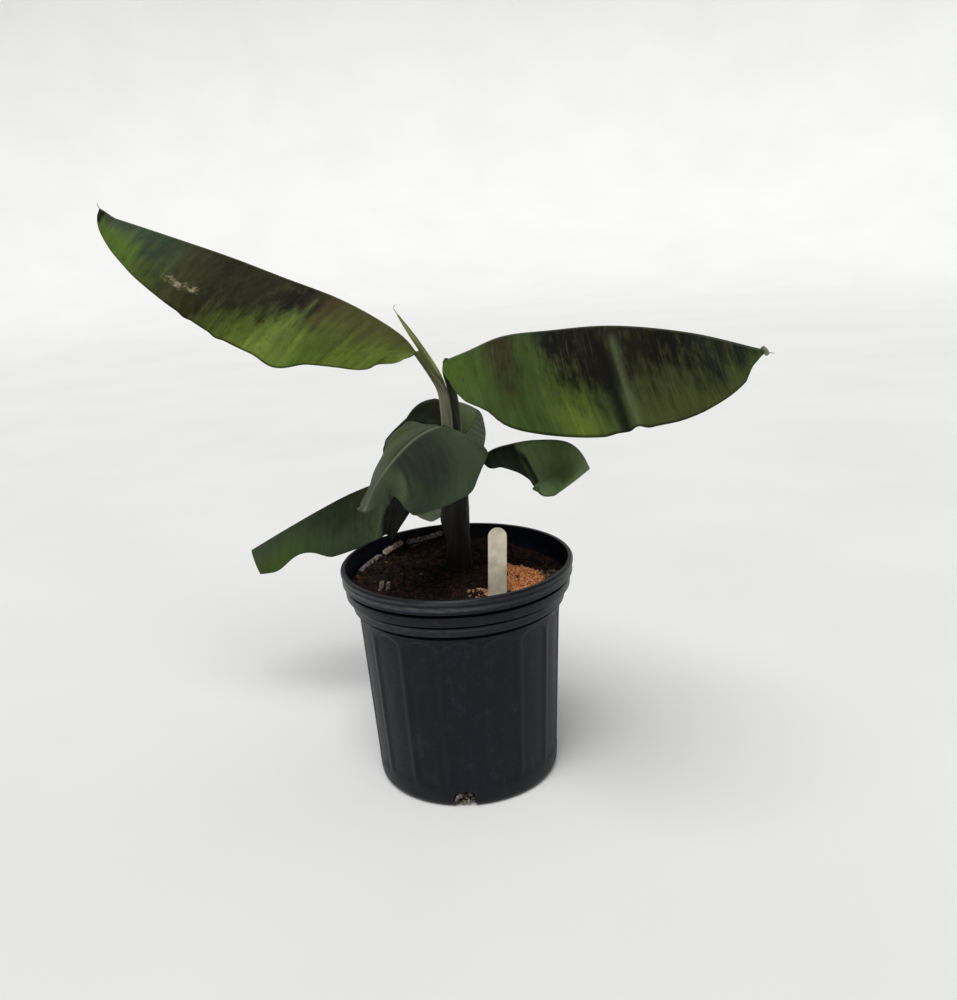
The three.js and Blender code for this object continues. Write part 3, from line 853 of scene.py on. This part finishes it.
def flute_depth(angle, z):
    """How deep the panels between the upright ribs lie, with an arched top to each panel."""
    share = np.abs(np.mod(angle * FLUTES / (2 * math.pi) + 0.5, 1) - 0.5) * 2
    beside = 1 - smooth_step(share, FLUTE_FLAT_SHARE, 1)
    top = FLUTE_TOP_Z - FLUTE_ARCH * np.minimum(1, share) ** 2
    above = 1 - smooth_step(z, top - 1.6, top)
    below = smooth_step(z, FLUTE_FOOT_Z, FLUTE_FOOT_Z + 5)
    return FLUTE_DEPTH * beside * above * below


def drain_sides():
    """The directions outward and along the wall at each drain slot."""
    for i in range(DRAIN_HOLES):
        turn = math.radians(DRAIN_TURN + i * 360 / DRAIN_HOLES - 90)
        x, y = math.cos(turn), math.sin(turn)
        yield np.array([x, y, 0]), np.array([-y, x, 0])


def drain_cutter():
    """Slots with rounded tops, through the foot of the wall on every side."""
    outline = [(-DRAIN_WIDTH / 2, -DRAIN_ARCH), (DRAIN_WIDTH / 2, -DRAIN_ARCH)]
    for step in np.linspace(0, 1, 13):
        lean = math.pi * step
        lift = DRAIN_TOP_Z - DRAIN_ARCH + DRAIN_ARCH * abs(math.sin(lean)) ** 0.6
        outline.append((DRAIN_WIDTH / 2 * math.cos(lean), lift))
    count = len(outline)
    points, faces = [], []
    for out, across in drain_sides():
        first = len(points)
        for reach in (BASE_RADIUS - DRAIN_DEPTH / 2, BASE_RADIUS + DRAIN_DEPTH / 2):
            points += [reach * out + x * across + z * UP for x, z in outline]
        faces += grid_faces(2, count, first, wrap=True)
        faces.append([first + k for k in range(count)][::-1])
        faces.append([first + count + k for k in range(count)])
    return points, faces


def cut_away(piece, points, faces):
    """Take a closed shape out of a piece for good."""
    cutter = mesh_object("cutter", points, faces, smooth=False)
    modifier = piece.modifiers.new("cut", "BOOLEAN")
    modifier.object = cutter
    modifier.operation = "DIFFERENCE"
    modifier.solver = "EXACT"
    bpy.context.view_layer.update()
    cut = bpy.data.meshes.new_from_object(piece.evaluated_get(bpy.context.evaluated_depsgraph_get()))
    piece.modifiers.clear()
    piece.data = cut
    bpy.data.objects.remove(cutter)


def groove_shade_faces(profile, faces):
    """1 for each face of the pot in a groove on the outside of its collar, which is painted with shade,
    else 0.
    """
    rim_row = np.argmax(profile[:, 1])
    row_of_face = np.array([min(face) // POT_SEGMENTS for face in faces])
    ahead = np.minimum(row_of_face + 1, len(profile) - 1)
    height = (profile[row_of_face, 1] + profile[ahead, 1]) / 2
    near = [np.abs(height - z) < half for z, half in COLLAR_GROOVE_SHADE]
    return (np.any(near, axis=0) & (row_of_face < rim_row)).astype(int)


def add_pot():
    profile = np.array(pot_profile())
    angle, radius = np.meshgrid(turns(POT_SEGMENTS), profile[:, 0])
    z = np.broadcast_to(profile[:, 1][:, None], radius.shape)
    outer = np.isclose(radius, body_radius(z)) & (z > FLUTE_FOOT_Z)
    radius = radius - np.where(outer, flute_depth(angle, z), 0)
    rows = np.stack([radius * np.cos(angle), radius * np.sin(angle), z], axis=-1)
    points, faces = closed_tube(rows)
    # The faces in the grooves get a second material that is painted shade
    looks = [pot_look(), groove_shade_look()]
    in_groove_shade = groove_shade_faces(profile, faces)
    pot = make_piece(
        "nursery_pot", points, faces, looks, "pot", ["pot"], face_looks=in_groove_shade, sharp_angle=50
    )
    cut_away(pot, *drain_cutter())
    return pot


# Soil


def soil_height(x, y):
    height = np.full(np.shape(x), float(SOIL_Z))
    for middle_x, middle_y, radius, lift in SOIL_SWELLS:
        height += lift * bump(np.hypot(x - middle_x, y - middle_y) / radius)
    return height


def soil_surface(x, y):
    """The rough top of the potting mix."""
    place = np.stack([x, y, np.zeros_like(x)], axis=-1)
    rough = sum(height * lattice_noise(place, size, seed) for height, size, seed in SOIL_LUMPS)
    return soil_height(x, y) + rough - SOIL_SINK


def add_soil():
    """Potting mix that fills the pot, with a lumpy top."""
    angles = turns(SOIL_SIDES)
    angle, reach = np.meshgrid(angles, np.linspace(0.02, 1, SOIL_RINGS) * (SOIL_EDGE - 0.4))
    x, y = reach * np.cos(angle), reach * np.sin(angle)
    top = np.stack([x, y, soil_surface(x, y)], axis=-1)
    side = [
        np.stack([r * np.cos(angles), r * np.sin(angles), np.full(angles.shape, float(z))], axis=-1)
        for r, z in SOIL_WALL
    ]
    points, faces = closed_tube(np.concatenate([top, side])[::-1])
    look = earth_look("potting_mix", (16, 11, 9), (34, 21, 15), (64, 36, 22))
    return make_piece("potting_mix", points, faces, [look], "potting_mix", ["soil"])


CRUMB_CORNERS = np.array(
    [[1, 0, 0], [-1, 0, 0], [0, 1, 0], [0, -1, 0], [0, 0, 1], [0, 0, -1]]
    + [[x * CRUMB_SHOULDER for x in signs] for signs in itertools.product((1, -1), repeat=3)]
)


def crumb_faces():
    """Triangles of the crumb's own corners: each face corner sits between three axis corners."""
    faces = []
    for corner in range(6, 14):
        x = 0 if CRUMB_CORNERS[corner][0] > 0 else 1
        y = 2 if CRUMB_CORNERS[corner][1] > 0 else 3
        z = 4 if CRUMB_CORNERS[corner][2] > 0 else 5
        ring = [x, y, z] if CRUMB_CORNERS[corner].prod() > 0 else [x, z, y]
        for k in range(3):
            faces.append([corner, ring[k], ring[(k + 1) % 3]])
    return np.array(faces)


def random_turns(rng, count):
    """Random rotations, as matrices."""
    w, x, y, z = unit(rng.normal(size=(count, 4))).T
    rows = [
        [1 - 2 * (y * y + z * z), 2 * (x * y - z * w), 2 * (x * z + y * w)],
        [2 * (x * y + z * w), 1 - 2 * (x * x + z * z), 2 * (y * z - x * w)],
        [2 * (x * z - y * w), 2 * (y * z + x * w), 1 - 2 * (x * x + y * y)],
    ]
    return np.moveaxis(np.array(rows), 2, 0)


def scattered_crumbs(name, places, sizes, look, seed):
    """Irregular crumbs joined into one piece, each partly sunk in the potting mix."""
    rng = np.random.default_rng(seed)
    count = len(places)
    corners = CRUMB_CORNERS * rng.uniform(0.7, 1.25, (count, len(CRUMB_CORNERS), 1))
    corners = corners * rng.uniform(0.5, 1.4, (count, 1, 3)) * np.asarray(sizes)[:, None, None]
    corners = np.einsum("nij,nkj->nki", random_turns(rng, count), corners) + np.asarray(places)[:, None]
    base = crumb_faces()
    faces = (base[None] + np.arange(count)[:, None, None] * len(CRUMB_CORNERS)).reshape(-1, 3).tolist()
    return make_piece(name, corners.reshape(-1, 3), faces, [look], "potting_mix", sharp_angle=20)


def soil_places(rng, count, middle, radius):
    """Random places on the potting mix, round a middle."""
    angle = rng.uniform(0, 2 * math.pi, count)
    reach = radius * np.sqrt(rng.uniform(0, 1, count))
    x, y = middle[0] + reach * np.cos(angle), middle[1] + reach * np.sin(angle)
    inside = np.hypot(x, y) < SOIL_EDGE - 2
    x, y = x[inside], y[inside]
    return np.stack([x, y, soil_surface(x, y)], axis=-1)


def inside_outline(x, y, outline):
    """Which points lie inside a closed outline."""
    inside = np.zeros(x.shape, bool)
    for (x0, y0), (x1, y1) in zip(outline, outline[1:] + outline[:1]):
        crosses = (y0 > y) != (y1 > y)
        inside ^= crosses & (x < x0 + (x1 - x0) * (y - y0) / (y1 - y0 + 1e-9))
    return inside


def add_crumbs():
    """Loose bits of each kind, by count, middle, radius, size and colours, and a patch of coir."""
    rng = np.random.default_rng(11)
    kinds = [
        ("crumbs_dark", 1700, (0, 0), 76, 2.2, [(14, 10, 9), (26, 17, 13), (44, 28, 20)]),
        ("crumbs_red_brown", 420, (0, 0), 76, 1.8, [(38, 21, 14), (60, 33, 21), (84, 48, 30)]),
        ("crumbs_pale", 90, (19, -38), 12, 1.5, [(150, 92, 58), (190, 138, 98), (214, 184, 152)]),
        ("crumbs_grey", 340, (68, -14), 17, 1.6, [(70, 62, 52), (104, 94, 80), (150, 136, 116)]),
        ("crumbs_tan", 40, (0, 0), 76, 1.3, [(80, 66, 54), (104, 88, 72), (124, 108, 92)]),
    ]
    for seed, (name, count, middle, radius, size, shades) in enumerate(kinds):
        places = soil_places(rng, count, middle, radius)
        sizes = size * rng.uniform(0.35, 1.0, len(places))
        scattered_crumbs(name, places, sizes, earth_look(name, *shades), seed)
    places = soil_places(rng, 6500, (50, -5), 42)
    ragged = 3 * lattice_noise(places, 7, 31)
    places = places[inside_outline(places[:, 0] + ragged, places[:, 1] + ragged, COIR_PATCH)]
    places[:, 2] += rng.uniform(0, 1.6, len(places))
    sizes = 1.7 * rng.uniform(0.35, 1.0, len(places))
    look = earth_look("coir", (96, 54, 32), (220, 138, 80), (252, 212, 164), 0.8)
    scattered_crumbs("coir_patch", places, sizes, look, 9)


def joined(parts):
    """Points and faces of several closed shapes in one list."""
    points, faces = [], []
    for part_points, part_faces in parts:
        first = sum(len(block) for block in points)
        points.append(part_points)
        faces += [[first + corner for corner in face] for face in part_faces]
    return np.concatenate(points), faces


def flat_strip(line, size, rough, toward, seed):
    """A ragged flat strip along a line, as a thin closed shape."""

    def radius(t, angle):
        oval = 1 / np.sqrt((np.cos(angle) / size[0]) ** 2 + (np.sin(angle) / size[1]) ** 2)
        place = np.stack([np.cos(angle), np.sin(angle), t * 14], axis=-1)
        ends = smooth_step(t, -0.02, 0.06) * smooth_step(t, 1.02, 0.9)
        ragged = rough * lattice_noise(place, 0.8, seed), rough * lattice_noise(place, 0.3, seed + 1)
        return oval * ends * (1 + ragged[0] + ragged[1])

    return closed_tube(swept(line, 48, 20, radius, toward))


def add_bark():
    """Strips of bark along the back wall and two shards at the front left."""
    strips = [flat_strip(*strip, BARK_SIDE, 40 + 2 * i) for i, strip in enumerate(BARK_STRIPS)]
    tan = earth_look("bark_tan", (50, 38, 32), (150, 130, 114), (204, 186, 168), 0.6)
    grey = earth_look("bark_grey", (26, 23, 22), (98, 93, 89), (170, 160, 152), 0.7)
    for name, chosen, look in (
        ("bark_tan", strips[:1] + strips[4:], tan),
        ("bark_grey", strips[1:4], grey),
    ):
        make_piece(name, *joined(chosen), [look], "potting_mix", sharp_angle=25)


def add_drain_scraps():
    """Bits of root and bark that show in the drain slots."""
    rng = np.random.default_rng(5)
    shape = (DRAIN_SCRAPS, 1)
    places = []
    for out, across in drain_sides():
        reach = rng.uniform(BASE_RADIUS - 5, BASE_RADIUS - 1.2, shape)
        side = rng.uniform(-0.46 * DRAIN_WIDTH, 0.46 * DRAIN_WIDTH, shape)
        places.append(reach * out + side * across + rng.uniform(2, 10.5, shape) * UP)
    places = np.concatenate(places)
    look = earth_look("drain_scraps", (40, 34, 30), (96, 86, 74), (170, 160, 144))
    scattered_crumbs("drain_scraps", places, rng.uniform(0.6, 1.9, len(places)), look, 12)


# Stem and stalks


def add_stem():
    """The false trunk: leaf sheaths rolled round each other, each ending in an upright edge."""

    def radius(t, angle):
        wrap = np.mod((angle + 0.5 * t) / (2 * math.pi) * SHEATHS + 0.35 * t, 1)
        overlap = SHEATH_STEP * (wrap - smooth_step(wrap, 0.94, 1.0)) - SHEATH_STEP / 2
        ribs = 0.12 * np.sin(angle * 30 + 1.5 * np.sin(7 * t))
        place = np.stack([np.cos(angle) * 3, np.sin(angle) * 3, t * 12], axis=-1)
        dents = 0.35 * lattice_noise(place, 1.1, 5)
        flare = SHEATH_FLARE * smooth_step(t, 0.2, 0.42) * (1 - smooth_step(t, 0.6, 0.85))
        flare = flare * bump((angle - 0.55 * math.pi) / 1.1)
        return smooth_value(STEM_RADII, t) - 0.3 + overlap + ribs + dents + flare

    look = limb_look("stem_skin", [srgb(8, 8, 5), srgb(16, 15, 10), srgb(36, 34, 22)])
    make_limb("stem_sheaths", STEM_LINE, 150, 120, radius, (0, 1, 0), 10, look, "stem", "pseudostem")


def add_stalk(name, look):
    """A leaf stalk, rounded below and channelled on its upper side."""
    line, radii = STALKS[name]

    def radius(t, angle):
        groove = bump((np.mod(angle, 2 * math.pi) - math.pi) / 0.9)
        return smooth_value(radii, t) * (1 - 0.32 * groove) + 0.05 * np.sin(angle * 14)

    piece, node = f"channelled_stalk_{name}", f"stalk_{name}"
    make_limb(piece, line, 60, 48, radius, LIMB_SIDE, 4, look, "leaf_stalk", node)


def add_spear():
    """The youngest leaf, still rolled into a spear."""

    def radius(t, angle):
        roll = np.mod(angle / (2 * math.pi) + 0.8 * t, 1)
        seam = 0.3 * (roll - smooth_step(roll, 0.9, 1.0))
        return smooth_value(SPEAR_RADII, t) * (0.86 + seam)

    look = limb_look("spear_skin", [srgb(70, 78, 40), srgb(112, 120, 62), srgb(150, 152, 92)])
    make_limb("rolled_spear", SPEAR_LINE, 120, 48, radius, LIMB_SIDE, 3, look, "young_leaf", "spear_leaf")


def hair(line, radius):
    """A dry thread that thins towards its end."""
    return closed_tube(swept(line, 24, 8, lambda t, angle: radius * (1 - 0.7 * t), (0.3, 1, 0.2)))


def add_dry_bits():
    """Dried threads at the tips of the upper blades and the spear, and a dried tip."""
    threads = joined([hair(line, radius) for line, radius in DRY_THREADS])
    look = earth_look("dry_thread", (96, 92, 84), (134, 130, 120), (160, 156, 146))
    make_piece("dry_threads", *threads, [look], "leaf_blade")
    look = earth_look("dry_leaf", (74, 78, 60), (116, 120, 98), (150, 152, 130))
    tip = flat_strip(*DRY_TIP, (0, -1, 0.4), 62)
    make_piece("dry_tip", *tip, [look], "leaf_blade", sharp_angle=30)


# Blades


def half_width(blade, t):
    end = BLADE_FOOT_HALF_WIDTH + (BLADE_TIP_HALF_WIDTH - BLADE_FOOT_HALF_WIDTH) * t
    power = math.log(0.5) / math.log(blade["peak"])
    swell = np.maximum(np.sin(math.pi * (t * blade["reach"]) ** power), 0) ** blade["fullness"]
    return end + (blade["width"] - end) * swell


def lobed(half, t):
    share = np.ones_like(t)
    for at, span, change in half["lobes"]:
        share = share + change * bump((t - at) / span)
    return share


def blade_half(blade, side, t, s):
    """Points, face directions and widths of one half of a blade, on a grid of shares t by s."""
    half = blade["near"] if side == blade["near_side"] else blade["far"]
    rib, along, length = curve_through(blade["rib"], t)
    across = unit(np.cross(along, UP))
    up = np.cross(across, along)
    width = half_width(blade, t)
    flatten = np.minimum(1, width / FLAT_BELOW_WIDTH)
    start = (np.radians(smooth_value(half["at_rib"], t)) * flatten)[:, None]
    end = (np.radians(smooth_value(half["at_margin"], t)) * flatten)[:, None]
    turn = (end - start) * s + 1e-6
    angle = start + turn
    span = (width * lobed(half, t))[:, None] * s
    out = (np.sin(angle) - np.sin(start)) / turn
    down = (np.cos(start) - np.cos(angle)) / turn
    slide = blade["sweep"] * (1 - t[:, None] ** 2) * (span - BLADE_FOOT_HALF_WIDTH * s)
    points = rib[:, None] + (side * span * out)[..., None] * across[:, None]
    points = points - (span * down)[..., None] * up[:, None] + slide[..., None] * along[:, None]
    face = np.cos(angle)[..., None] * up[:, None] + (side * np.sin(angle))[..., None] * across[:, None]
    return points, face, span, length, up


def vein_place(blade, t, span, length):
    """How far along the rib the side vein through a point has left it."""
    foot, tip = blade["veins"]
    slope = foot + (tip - foot) * t[:, None]
    return length * t[:, None] - slope * span


def fold_shares(blade, t, span, length):
    """How near each point is to each fold of the sheet, from 0 beyond the fold to 1 on its line."""
    for fold in blade["folds"]:
        away = length * t[:, None] - fold["start"] - fold["slope"] * span
        ends = smooth_step(span, 2, 14) * (1 - smooth_step(span, fold["end"] - FOLD_FADE, fold["end"]))
        yield fold, (1 - np.minimum(1, np.abs(away) / fold["half"])) * ends


def blade_relief(t, s, span, vein, side, seed):
    """How far the sheet stands off its plain shape: pleats along the veins and a waved margin."""
    where = np.stack([vein, span * side, np.zeros_like(vein)], axis=-1)
    strength = 0.6 + 0.4 * lattice_noise(where, 26, seed)
    drift = 1.6 * lattice_noise(where, 18, seed + 1)
    pleat = PLEAT_HEIGHT * strength * np.cos(2 * math.pi * (vein + drift) / PLEAT_SPACING)
    wave = MARGIN_WAVE * s**3 * lattice_noise(where, 17, seed + 2) * smooth_step(t, 0.08, 0.35)[:, None]
    pleat = pleat * smooth_step(span, 3, 14) * bump(s - 0.5) ** 0.3
    return (pleat + wave) * np.minimum(1, 8 * np.minimum(t, 1 - t))[:, None]


def scar_share(blade, t, span, length):
    """1 along the middle of the old tear, falling to 0 a little way round it."""
    if "scar" not in blade:
        return np.zeros(span.shape)
    (start, start_span), (end, end_span) = blade["scar"]
    along = length * t[:, None] - start
    share = np.clip(along / (end - start), 0, 1)
    beside = span - start_span - (end_span - start_span) * share
    return bump(np.hypot(along - (end - start) * share, beside) / SCAR_REACH)


def blade_side(blade, side, t, s, length, seed):
    """One half of a blade: its upper and lower sheets and what its materials read."""
    points, face, span, _, up = blade_half(blade, side, t, s)
    vein = vein_place(blade, t, span, length)
    lift = blade_relief(t, s, span, vein, side, seed)
    shadow, sheen, scar = np.zeros((3, *span.shape))
    if side == blade["near_side"]:
        # Besides its relief, a valley fold gets a painted shadow and a ridge fold a painted sheen
        for fold, share in fold_shares(blade, t, span, length):
            lift = lift + fold["height"] * share
            if fold["height"] < 0:
                shadow = np.maximum(shadow, fold["mark"] * smooth_step(share, 0, 0.9))
            else:
                sheen = np.maximum(sheen, fold["mark"] * share**1.5)
        scar = scar_share(blade, t, span, length)
    taper = (1 - 0.6 * t)[:, None]
    groove = GROOVE_DEPTH * taper * bump(span / GROOVE_HALF_WIDTH)
    ridge = RIDGE_HEIGHT * taper * bump((span - RIDGE_PLACE) / RIDGE_HALF_WIDTH)
    sheet = points + (lift - groove + ridge)[..., None] * face
    if "beak" in blade:
        curl = smooth_step(t, blade["beak"]["start"], 1)[:, None] * bump(span / 9)
        sheet = sheet + (blade["beak"]["lift"] * curl)[..., None] * UP
    keel = (RIB_DEPTH * (1 - t) + 0.9)[:, None] * bump(span / RIB_HALF_WIDTH)
    back = sheet - SHEET_THICKNESS * face - keel[..., None] * up[:, None]
    across = np.broadcast_to(s, span.shape)
    own_grain = np.full(span.shape, seed + side * 0.37)
    marks = {
        "place": np.stack([vein / length, across, span * side / GRAIN_UNIT], axis=-1),
        "grain": np.stack([vein / GRAIN_UNIT, span / GRAIN_UNIT, own_grain], axis=-1),
        "marks": np.stack([shadow, sheen, scar], axis=-1),
    }
    parts = {"sheet": sheet, "back": back, **marks}
    return {key: part[:, :0:-1] if side < 0 else part for key, part in parts.items()}


def add_blade(name, seed, looks):
    """A thin pleated sheet on each side of a rounded midrib."""
    blade = {**PLAIN_BLADE, **BLADES[name]}
    _, _, length = curve_through(blade["rib"], [0, 1])
    t = np.linspace(0, 1, int(length / ROW_SPACING))
    t = 0.35 * (0.5 - 0.5 * np.cos(math.pi * t)) + 0.65 * t
    s = np.linspace(0, 1, HALF_COLUMNS)
    s = (0.5 * s + 0.25 * (1 - np.cos(math.pi * s)))[None]
    left, right = (blade_side(blade, side, t, s, length, seed) for side in (-1, 1))
    whole = {key: np.concatenate([left[key], right[key]], axis=1) for key in left}
    rows, columns, _ = whole["sheet"].shape
    count = rows * columns
    faces = grid_faces(rows, columns) + grid_faces(rows, columns, count, flip=True)
    near_left = blade["near_side"] < 0
    halves = [0 if (column < columns // 2) == near_left else 1 for column in range(columns - 1)]
    face_looks = halves * (rows - 1) + [2] * (len(faces) // 2)
    border = list(range(columns))
    border += [row * columns + columns - 1 for row in range(1, rows)]
    border += [(rows - 1) * columns + column for column in range(columns - 2, -1, -1)]
    border += [row * columns for row in range(rows - 2, 0, -1)]
    for a, b in zip(border, border[1:] + border[:1]):
        faces.append([b, a, a + count, b + count])
        face_looks.append(0)
    points = np.concatenate([whole["sheet"].reshape(-1, 3), whole["back"].reshape(-1, 3)])
    marks = {key: np.concatenate([whole[key].reshape(-1, 3)] * 2) for key in ("place", "grain", "marks")}
    piece = f"pleated_blade_{name}"
    return make_piece(piece, points, faces, looks, "leaf_blade", [f"blade_{name}"], marks, face_looks)


# Studio


def add_floor():
    """A wide pale floor that curves up into a rim far from the pot."""
    flat, bend = 3200, 1500
    profile = [(r, 0) for r in np.linspace(1, flat, 12)]
    for step in np.linspace(0.1, 1, 10):
        lean = step * math.pi / 2
        profile.append((flat + bend * math.sin(lean), bend * (1 - math.cos(lean))))
    rows = np.array([[(r * math.cos(a), r * math.sin(a), z) for a in turns(96)] for r, z in profile])
    faces = grid_faces(*rows.shape[:2], wrap=True, flip=True)
    floor = mesh_object("floor", rows.reshape(-1, 3), faces)
    floor.data.materials.append(floor_look())


def add_sun():
    """One broad soft light from above and a little in front."""
    data = bpy.data.lights.new("soft_key", "SUN")
    data.energy = KEY_STRENGTH
    data.angle = math.radians(KEY_SPREAD)
    light = link_object("soft_key", data)
    light.rotation_euler = (math.radians(90 - KEY_ELEVATION), 0, math.radians(KEY_TURN))


def add_world():
    world = bpy.data.worlds.new("studio")
    world.use_nodes = True
    background = world.node_tree.nodes["Background"].inputs
    background["Color"].default_value = srgb(246, 247, 248)
    background["Strength"].default_value = WORLD_STRENGTH
    bpy.context.scene.world = world


def add_camera():
    """The photograph's viewpoint, a little above the plant."""
    elevation, roll = math.radians(CAMERA_ELEVATION), math.radians(CAMERA_ROLL)
    back = Vector((0, -math.cos(elevation), math.sin(elevation)))
    level_up = Vector((0, math.sin(elevation), math.cos(elevation)))
    level_right = Vector((1, 0, 0))
    right = level_right * math.cos(roll) + level_up * math.sin(roll)
    up = level_up * math.cos(roll) - level_right * math.sin(roll)
    data = bpy.data.cameras.new("camera")
    data.lens = CAMERA_LENS
    data.sensor_width = 36
    camera = link_object("camera", data)
    turn = Matrix((right, up, back)).transposed().to_4x4()
    camera.matrix_world = Matrix.Translation(Vector(CAMERA_PLACE) * MM) @ turn
    bpy.context.scene.camera = camera


def add_plant():
    upper = [OLIVE_BROWN, OLIVE, srgb(112, 118, 70)]
    tan = limb_look("stalk_skin_tan", [srgb(66, 64, 50), srgb(104, 102, 84), srgb(132, 130, 108)], upper)
    dark = limb_look("stalk_skin_dark", [srgb(26, 28, 18), srgb(42, 45, 30), srgb(86, 88, 66)])
    lower = underside_look()
    add_stem()
    add_spear()
    for name in STALKS:
        add_stalk(name, tan if name == "left_high" else dark)
    for seed, name in enumerate(BLADES):
        near = leaf_look(f"blade_{name}_near", TONES[name])
        # The far halves of the front and back blades take the painted lighter tones
        far = leaf_look(f"blade_{name}_far", LIT_FAR_TONES.get(name, TONES[name]))
        add_blade(name, 10 * seed + 20, [near, far, lower])


def finish_label():
    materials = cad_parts["label"].data.materials
    materials.clear()
    materials.append(label_look())


add_camera()
add_world()
add_floor()
add_sun()
add_pot()
add_soil()
add_crumbs()
add_bark()
add_drain_scraps()
add_plant()
add_dry_bits()
finish_label()
bpy.context.scene.view_settings.view_transform = "Standard"
